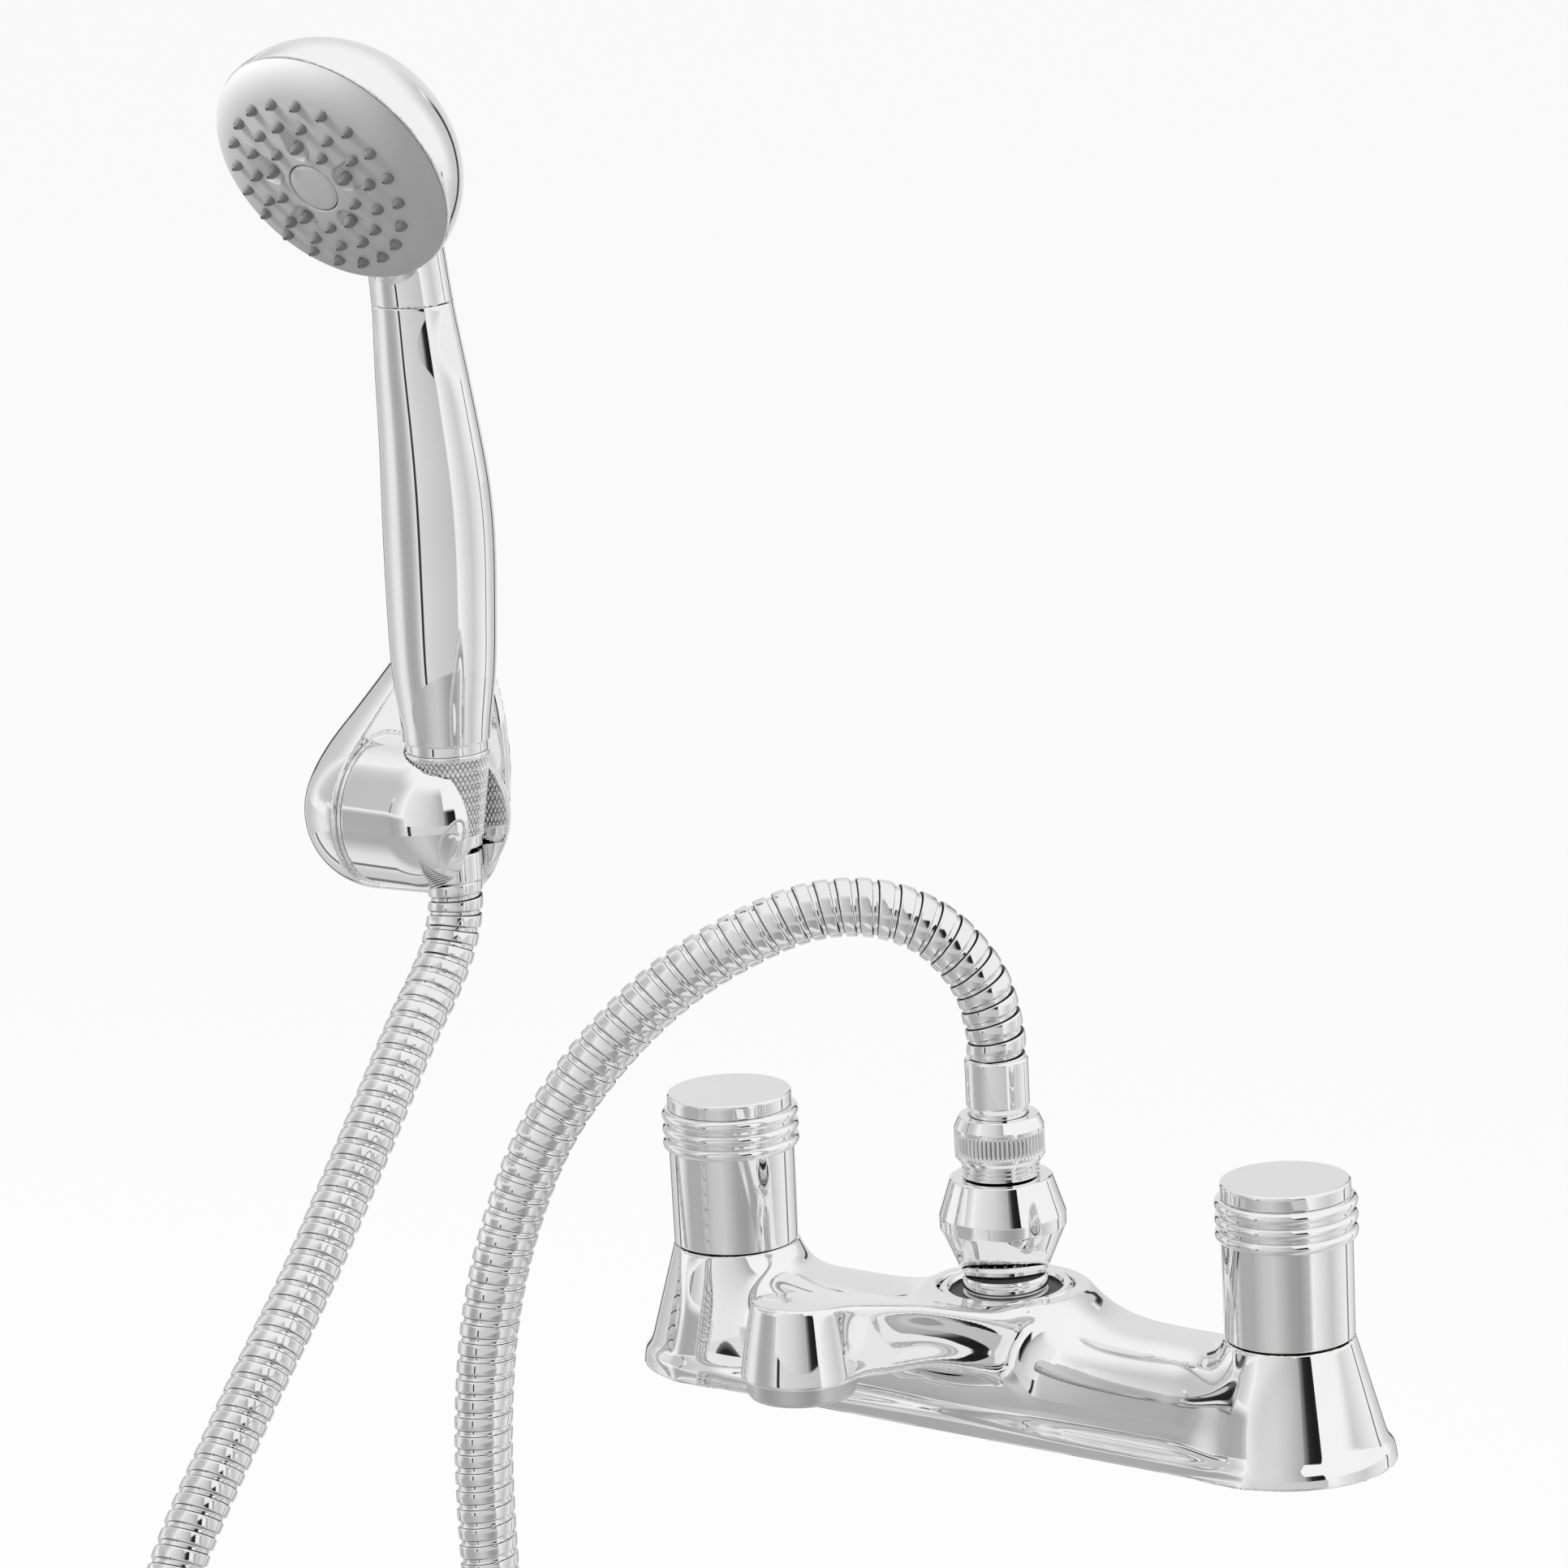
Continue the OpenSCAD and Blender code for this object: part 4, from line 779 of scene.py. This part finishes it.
def head_field(p):
    """Below zero inside the shell: a dome blended into a bowed neck, less the spray plate's pocket."""
    hx, hy, hz = to_head(p)
    rho = np.hypot(hx, hy)
    front = hz + HEAD_BACK
    dome = (np.sqrt((rho / HEAD_R) ** 2 + (np.minimum(hz, 0) / HEAD_DEEP) ** 2) - 1) * 33
    up = np.clip(p[:, 2] - NECK_FOOT, -2, 40)
    lean = -NECK_LEAN - 3 * NECK_BEND * up * up
    off = (p[:, 1] - (NECK_Y - NECK_LEAN * up - NECK_BEND * up ** 3)) / np.sqrt(1 + lean * lean)
    radius = NECK_R - 0.36 * (1 - np.exp(-up / 6))
    neck = np.maximum(np.hypot(p[:, 0] - HANDSET[0], off) - radius, p[:, 2] - NECK_TOP)
    d = smin(smax(dome, front, 1.0), neck, 3.5)
    d = np.maximum(d, np.minimum(front, 37.5 - rho))  # trims the blend, not the neck below the head
    d = smax(d, NECK_FOOT + 0.05 - p[:, 2], 0.25)
    return np.maximum(d, np.minimum(PLATE_POCKET_R - rho, hz + PLATE_POCKET_DEEP))


def crown(r):
    """Height of the spray plate's face at a radius."""
    return 10 - 2.7 * (r / 27) ** 2


def scoop_depth(r, t):
    """Five scoops, each closed round one inner nozzle and fading outwards, with steep walls."""
    depth = np.zeros_like(r)
    for centre in SCOOPS:
        turn = (t - centre + math.pi) % TAU - math.pi
        u, v = r * np.cos(turn), np.abs(r * np.sin(turn))
        closed = np.sqrt(np.clip(SCOOP_R ** 2 - (SCOOP_CENTRE - u) ** 2, 0, None))
        half = np.where(u < SCOOP_CENTRE, closed, SCOOP_R + 0.16 * (u - SCOOP_CENTRE))
        wall = np.clip((half - v) / SCOOP_WALL, 0, 1) * (np.abs(turn) < 1.2)
        fade = np.clip((SCOOP_END - u) / 11.5, 0, 1)
        depth = np.maximum(depth, SCOOP_DEEP * ease(wall) * ease(fade))
    return depth


def scooped(r, z, t):
    face = (z > 5.5) & (r > 7.9) & (r < 28.8)
    return r, z - scoop_depth(r, t) * face


def add_head():
    low, high = (-250.6, -22.5, 278.6), (-173.4, 46.6, 361.5)
    fit(cast("handset_shell", head_field, low, high, CASTING_CELL, CHROME), "handset", "chrome", "head_shell")
    outline = [(7.9, 6.0), (7.9, 9.45), (7.94, 9.62), (8.06, 9.74)]
    outline += [(r, float(crown(r))) for r in np.linspace(8.3, 27.3, 76)]
    for k in range(19):
        a = math.radians(15 + 75 * k / 18)
        outline.append((24.2 + 12.7 * math.sin(a), 0.1 + 7.35 * math.cos(a)))
    outline += [(36.7, 0.05), (33.75, 0.05), (33.75, -2.95), (31.6, -2.95), (31.4, 0.0), (29.0, 3.0),
                (12, 5.0), (10.0, 1.5), (1.65, 1.5), (1.65, 5.05), (7.7, 5.05)]
    turned("spray_face", outline, from_head, "handset", "grey_plastic", "spray_plate",
           turns=360, relief=scooped)
    turned("spray_centre", rounded((
        (0, 7.1), (7.5, 7.1), (7.5, 9.6, .3), (6.6, 9.82, .5), (4, 9.98), (0, 10.05))),
        from_head, "handset", "grey_plastic", "centre_disc")
    points, faces = [], []
    a = TAU * np.arange(NOZZLE_SIDES) / NOZZLE_SIDES
    for count, radius, phase in NOZZLE_RINGS:
        foot = float(crown(radius))
        for k in range(count):
            turn = math.radians(phase + 360 * k / count)
            cx, cy = radius * math.cos(turn), radius * math.sin(turn)
            faces += tube_faces(len(NOZZLE_SHAPE), NOZZLE_SIDES, len(points) * NOZZLE_SIDES)
            for r, h in NOZZLE_SHAPE:
                level = np.full(NOZZLE_SIDES, foot + h)
                points.append(np.stack((cx + r * np.cos(a), cy + r * np.sin(a), level), 1))
    mat = add_mesh("spray_nozzles", from_head(np.concatenate(points)), faces, NOZZLE, 50)
    fit(mat, "handset", "nozzle_rubber", "nozzle_mat")


# ---------------- wall bracket
HUB_R = 23.0
HUB_FACE_X = -236.75  # the base's flat side, where the cradle turns against it
HUB_RISE, HUB_FALL = math.radians(36.6), math.radians(16.7)
PLATE_X, PLATE_Z, PLATE_HALF_X, PLATE_HALF_Z = -238, 140, 20, 42
WALL_Y, FLANGE_Y = 70, 63.5
DRUM_R, DRUM_FACE_X, DRUM_ROUND_X = 21.5, -235.5, -218
PIVOT_BORE, PIVOT_HEAD = 4.05, 6.3
SLOT_HALF = 8.5


def hub_line(y, lean):
    """Half height of the base's outline above or below the pivot: the hub's circle, then its tangent."""
    ball = np.sqrt(np.clip(HUB_R ** 2 - (y - PIVOT[0]) ** 2, 0, None))
    at = PIVOT[0] - HUB_R * math.sin(lean)
    return np.where(y < at, ball, HUB_R * math.cos(lean) + (y - at) * math.tan(lean))


def base_field(p):
    """Below zero inside the bracket's base: a half ball that grows into a tube and an oval wall flange."""
    x, y, z = p.T
    dx, dy = x - HUB_FACE_X, y - PIVOT[0]
    axis = np.hypot(dy, z - PIVOT[1])
    up, down = hub_line(y, HUB_RISE), hub_line(y, HUB_FALL)
    centre, tall = PIVOT[1] + (up - down) / 2, np.maximum((up + down) / 2, 0.5)
    left = np.where(dy < 0, np.sqrt(np.clip(HUB_R ** 2 - dy * dy, 0, None)), HUB_R - 1.8 * dy / 35)
    wide = np.maximum(left, 0.5)
    tube = (np.hypot(dx / wide, (z - centre) / tall) - 1) * np.minimum(wide, tall)
    ball = np.sqrt(dx * dx + dy * dy + (z - PIVOT[1]) ** 2) - HUB_R
    t = ease(np.clip((y - 17) / 8, 0, 1))
    dome = smax(ball * (1 - t) + tube * t, dx, 1.2)
    oval = (np.hypot((x - PLATE_X) / PLATE_HALF_X, (z - PLATE_Z) / PLATE_HALF_Z) - 1) * 22
    flange = smax(oval, FLANGE_Y - y + 0.5 * np.maximum(oval + 8, 0), 3)
    d = smin(dome, flange, 7)
    d = smax(d, y - WALL_Y, 0.8)
    d = smax(d, np.minimum(22.2 - axis, dx), 0.6)  # room for the drum
    d = smax(d, np.minimum(x + 231, 58 - y), 0.6)  # and for the handset
    slab = np.hypot(x - PLATE_X, np.maximum(np.abs(z - PLATE_Z) - 17.25, 0))
    return np.maximum.reduce((
        d,
        np.minimum(14.1 - slab, y - 66.9),  # wall plate's pocket
        np.minimum(4.95 - np.hypot(x - PLATE_X, np.abs(z - PLATE_Z) - 25), y - 61),  # wall screws' heads
        np.minimum(PIVOT_BORE - axis, x + 252),  # pivot screw
        np.minimum(1.4 - np.hypot(x - PLATE_X, y - 68), 109 - z),  # grub screw
    ))


def cradle_field(p):
    """Below zero inside the cradle: a drum with a round end, less the handset's taper and its open slot."""
    x, y, z = p.T
    axis = np.hypot(y - PIVOT[0], z - PIVOT[1])
    drum = np.hypot(axis, np.maximum(x - DRUM_ROUND_X, 0)) - DRUM_R
    d = smax(drum, DRUM_FACE_X - x, 1.2)
    rho = np.hypot(x - HANDSET[0], y - HANDSET[1])
    bore = np.where(z < CONE_TOP, taper(z, SLOT_HALF), 12.3)
    socket = (bore - rho) * 0.99
    slot = np.minimum(SLOT_HALF - np.abs(y - HANDSET[1]), x - HANDSET[0])
    low = np.minimum(SLOT_HALF - rho, PIVOT[1] - z)
    d = smax(d, np.maximum(np.maximum(socket, slot), low), 0.8)
    pivot = np.maximum(PIVOT_BORE - axis, np.minimum(PIVOT_HEAD - axis, x + 229.6))
    return np.maximum(d, np.minimum(pivot, -213.6 - x))


def add_bracket():
    fit(cast("bracket_arm", base_field, (-262.4, 10.4, 94), (-214, 71.2, 188), 0.8, CHROME),
        "mixer", "chrome", "bracket_base")
    turned("bracket_trim_ring", rounded((
        (12.4, -236.74), (21.2, -236.74, .25), (21.75, -236.45, .4), (21.75, -235.85, .4),
        (21.2, -235.56, .25), (12.4, -235.56))), along_x, "mixer", "chrome")
    fit(cast("bracket_swivel", cradle_field, (-236.4, 12.6, 108.6), (-195.6, 57.4, 153.4), 0.55, CHROME),
        "cradle", "chrome", "bracket_cradle")


# ---------------- parts that keep their own shape
def finish_kept():
    """Gives every node of the frame the finish of its record slot."""
    slots = {row["node"]: row["material_slot"] for row in frame["record"]["subparts"]}
    for name, obj in frame["nodes"].items():
        mat = FINISHES[slots[name]]
        if not obj.material_slots:
            obj.data.materials.append(mat)
        for slot in obj.material_slots:
            slot.material = mat


# ---------------- stage
# In metres, and degrees: azimuths from the camera's direction, elevations from level.
WHITE_LIGHT = (1, 1, 1, 1)
FLOOR_Z, FLOOR_REACH = -0.4, 14.0
CARD_CENTRE = np.array((-0.06, -0.04, 0.07))
BROAD, LINE = 1.29, 1.27  # distances: the line cards stand just in front of the broad ones
CARD_STEPS = 24
CARDS = (  # name, distance, azimuths, elevations, greys from left to right, fade at the foot and at the head
    ("card_grey", BROAD, (-56, 14), (-1, 66), (0.92, 0.84, 0.78, 0.72, 0.60, 0.45), 0, 20),
    ("card_black", BROAD, (14, 34), (-1, 27), (0.30, 0.03, 0.015, 0.015), 0, 6),
    ("card_low", BROAD, (-110, 36), (-15.5, -1), (0.90, 0.84, 0.80, 0.72, 0.66, 0.60), 0, 0),
    ("card_line_low", LINE, (-49, -43), (-15.5, -1), (0.20, 0.02, 0.02, 0.30), 0, 0),
    ("card_line_front", LINE, (-98, -54), (-15.5, 12), (0.84, 0.48, 0.42, 0.46, 0.70), 0, 6),
    ("card_line_left", LINE, (-83, -80), (-1, 30), (0.40, 0.20, 0.40), 0, 10),
    ("card_side", BROAD, (-128, -60), (6, 66), (0.95, 0.68, 0.60, 0.60, 0.68, 0.95), 6, 24),
    ("card_line_right", LINE, (113, 116), (-15.5, 4), (0.30, 0.10), 0, 0),
    ("card_right", BROAD, (40, 112), (-15.5, 4), (1.0, 0.80, 0.66, 0.84, 0.96), 0, 3),
    ("card_back", BROAD, (125, 235), (0, 52), (0.95, 0.68, 0.62, 0.80, 0.80, 0.80, 0.62, 0.68, 0.95), 0, 24),
    ("card_low_back", BROAD, (118, 250), (-15.5, 0),
     (0.95, 0.70, 0.58, 0.76, 0.84, 0.78, 0.58, 0.68, 0.92), 0, 0),
    ("card_line_back", LINE, (150, 156), (-15.5, 30), (0.25, 0.03, 0.03, 0.25), 0, 8),
    ("card_line_back_left", LINE, (197, 204), (-15.5, 26), (0.30, 0.04, 0.04, 0.30), 0, 8),
)
FOOT_GREYS = (  # grey by azimuth where the cards meet the ground, with dark lines at the sides and back
    (-180, .80), (-164, .78), (-162.5, .2), (-156.5, .2), (-155, .64), (-140, .68), (-131, .84),
    (-129.5, .15), (-126, .15), (-124.5, .92), (-108, .84), (-92, .46), (-62, .46), (-40, .62), (-22, .66),
    (-6, .52), (6, .40), (22, .36), (36, .52), (42, .96), (58, .80), (75, .62), (95, .84), (111, .96),
    (113, .25), (116, .25), (118, .96), (140, .70), (149, .64), (150.5, .2), (155.5, .2), (157, .68),
    (180, .80),
)
GROUND_Z, GROUND_GREY, GROUND_SIDES = -0.396, 0.58, 480
GROUND_RINGS = (  # radius, height and how much of the foot's grey is left there
    (1.29, -0.275, 1), (1.24, GROUND_Z, 1), (0.9, GROUND_Z, 1), (0.6, GROUND_Z, 0.9), (0.3, GROUND_Z, 0.6),
    (0.0, GROUND_Z, 0.2),
)
LAMPS = (  # name, place, aim, size, power
    ("key", (-1.3, -0.9, 1.6), (-0.15, 0, 0.15), 0.9, 50),
    ("fill", (1.2, -1.6, 0.7), (-0.1, 0, 0.1), 1.4, 7),
)


def empty_tree(owner, output):
    """A material's or world's node tree with nothing in it but its output."""
    owner.use_nodes = True
    tree = owner.node_tree
    tree.nodes.clear()
    return tree, tree.nodes.new(output).inputs["Surface"]


def light_path_mix(tree, seen, other, out):
    """Shows one shader to camera, glossy and transmission rays and the other to the rest."""
    path = tree.nodes.new("ShaderNodeLightPath")
    chosen = path.outputs["Is Camera Ray"]
    for kind in ("Is Glossy Ray", "Is Transmission Ray"):
        either = tree.nodes.new("ShaderNodeMath")
        either.operation = "MAXIMUM"
        tree.links.new(chosen, either.inputs[0])
        tree.links.new(path.outputs[kind], either.inputs[1])
        chosen = either.outputs[0]
    mix = tree.nodes.new("ShaderNodeMixShader")
    for source, socket in zip((chosen, other, seen), mix.inputs):
        tree.links.new(source, socket)
    tree.links.new(mix.outputs[0], out)


def add_world():
    world = bpy.data.worlds.new("studio")
    bpy.context.scene.world = world
    tree, out = empty_tree(world, "ShaderNodeOutputWorld")
    seen = add_node(tree, "ShaderNodeBackground", Color=WHITE_LIGHT, Strength=1.0)
    other = add_node(tree, "ShaderNodeBackground", Color=WHITE_LIGHT, Strength=0.38)
    light_path_mix(tree, seen.outputs[0], other.outputs[0], out)


def add_floor():
    """A floor that looks as white as the backdrop and throws little light back up."""
    mat = bpy.data.materials.new("floor")
    tree, out = empty_tree(mat, "ShaderNodeOutputMaterial")
    white = add_node(tree, "ShaderNodeEmission", Color=WHITE_LIGHT, Strength=1.0)
    matte = add_node(tree, "ShaderNodeBsdfDiffuse", Color=(*grey(0.86), 1))
    dim = add_node(tree, "ShaderNodeBsdfDiffuse", Color=(*grey(0.40), 1))
    blend = add_node(tree, "ShaderNodeMixShader", Fac=0.92)
    tree.links.new(matte.outputs[0], blend.inputs[1])
    tree.links.new(white.outputs[0], blend.inputs[2])
    light_path_mix(tree, blend.outputs[0], dim.outputs[0], out)
    mesh = bpy.data.meshes.new("floor")
    corners = [(x * FLOOR_REACH, y * FLOOR_REACH, FLOOR_Z) for x, y in ((-1, -1), (1, -1), (1, 1), (-1, 1))]
    mesh.from_pydata(corners, [], [(0, 1, 2, 3)])
    mesh.materials.append(mat)
    floor = link("floor", mesh)


def card_material(name):
    """Glows with the grey of the mesh's own points."""
    mat = bpy.data.materials.new(name)
    tree, out = empty_tree(mat, "ShaderNodeOutputMaterial")
    glow = tree.nodes.new("ShaderNodeEmission")
    tone = tree.nodes.new("ShaderNodeAttribute")
    tone.attribute_name = "tone"
    tree.links.new(tone.outputs["Color"], glow.inputs["Color"])
    tree.links.new(glow.outputs[0], out)
    return mat


def place_card(name, points, faces, tones):
    """A card that is seen only in reflections."""
    mesh = bpy.data.meshes.new(name)
    mesh.from_pydata([tuple(p) for p in points], [], faces)
    attribute = mesh.color_attributes.new("tone", "FLOAT_COLOR", "POINT")
    for k, v in enumerate(tones):
        attribute.data[k].color = (v, v, v, 1)
    mesh.materials.append(card_material(name))
    card = link(name, mesh)
    card.visible_camera = card.visible_diffuse = card.visible_shadow = False


def add_ground():
    """Greys round the object's foot: a ring that carries on below the cards, and the ground inside it."""
    angles = np.linspace(-180, 180, GROUND_SIDES, endpoint=False)
    columns = np.interp(angles, *np.array(FOOT_GREYS).T)
    points, tones = [], []
    for r, z, share in GROUND_RINGS:
        for angle, tone in zip(angles, columns):
            a = AZIMUTH + math.radians(angle)
            points.append((CARD_CENTRE[0] + r * math.sin(a), CARD_CENTRE[1] - r * math.cos(a), z))
            tones.append(GROUND_GREY + (tone - GROUND_GREY) * share)
    place_card("card_ground", points, ring_faces(len(GROUND_RINGS), GROUND_SIDES), tones)


def add_card(name, reach, azimuths, elevations, shades, foot, head):
    """A patch of a ball round the object, grey by its columns and fading to white at its foot and head."""
    low, high = elevations
    stops = np.linspace(0, 1, len(shades))
    points, tones = [], []
    for i in range(CARD_STEPS + 1):
        e = math.radians(low + (high - low) * i / CARD_STEPS)
        here = math.degrees(e)
        weight = ease(min(1, (here - low) / foot if foot else 1, (high - here) / head if head else 1))
        for j in range(CARD_STEPS + 1):
            f = j / CARD_STEPS
            a = AZIMUTH + math.radians(azimuths[0] + (azimuths[1] - azimuths[0]) * f)
            way = np.array((math.sin(a) * math.cos(e), -math.cos(a) * math.cos(e), math.sin(e)))
            points.append(CARD_CENTRE + reach * way)
            tones.append(1 + (float(np.interp(f, stops, shades)) - 1) * weight)
    n = CARD_STEPS + 1
    faces = [(i * n + j, i * n + j + 1, (i + 1) * n + j + 1, (i + 1) * n + j)
             for i in range(CARD_STEPS) for j in range(CARD_STEPS)]
    place_card(name, points, faces, tones)


def add_lamp(name, place, aim, size, power):
    data = bpy.data.lights.new(name, "AREA")
    data.shape = "DISK"
    data.size = size
    data.energy = power
    lamp = link(name, data)
    lamp.location = place
    lamp.rotation_euler = (Vector(aim) - Vector(place)).to_track_quat("-Z", "Y").to_euler()
    lamp.visible_camera = lamp.visible_glossy = False


def add_stage():
    bpy.context.scene.view_settings.view_transform = "Standard"
    add_world()
    add_floor()
    for row in CARDS:
        add_card(*row)
    add_ground()
    for row in LAMPS:
        add_lamp(*row)


add_camera()
add_hose()
add_body()
for tap_side, tap_x in (("hot", -TAP_X), ("cold", TAP_X)):
    add_tap(tap_side, tap_x)
add_diverter()
add_grip()
add_head()
add_bracket()
finish_kept()
add_stage()

bpy.context.view_layer.update()
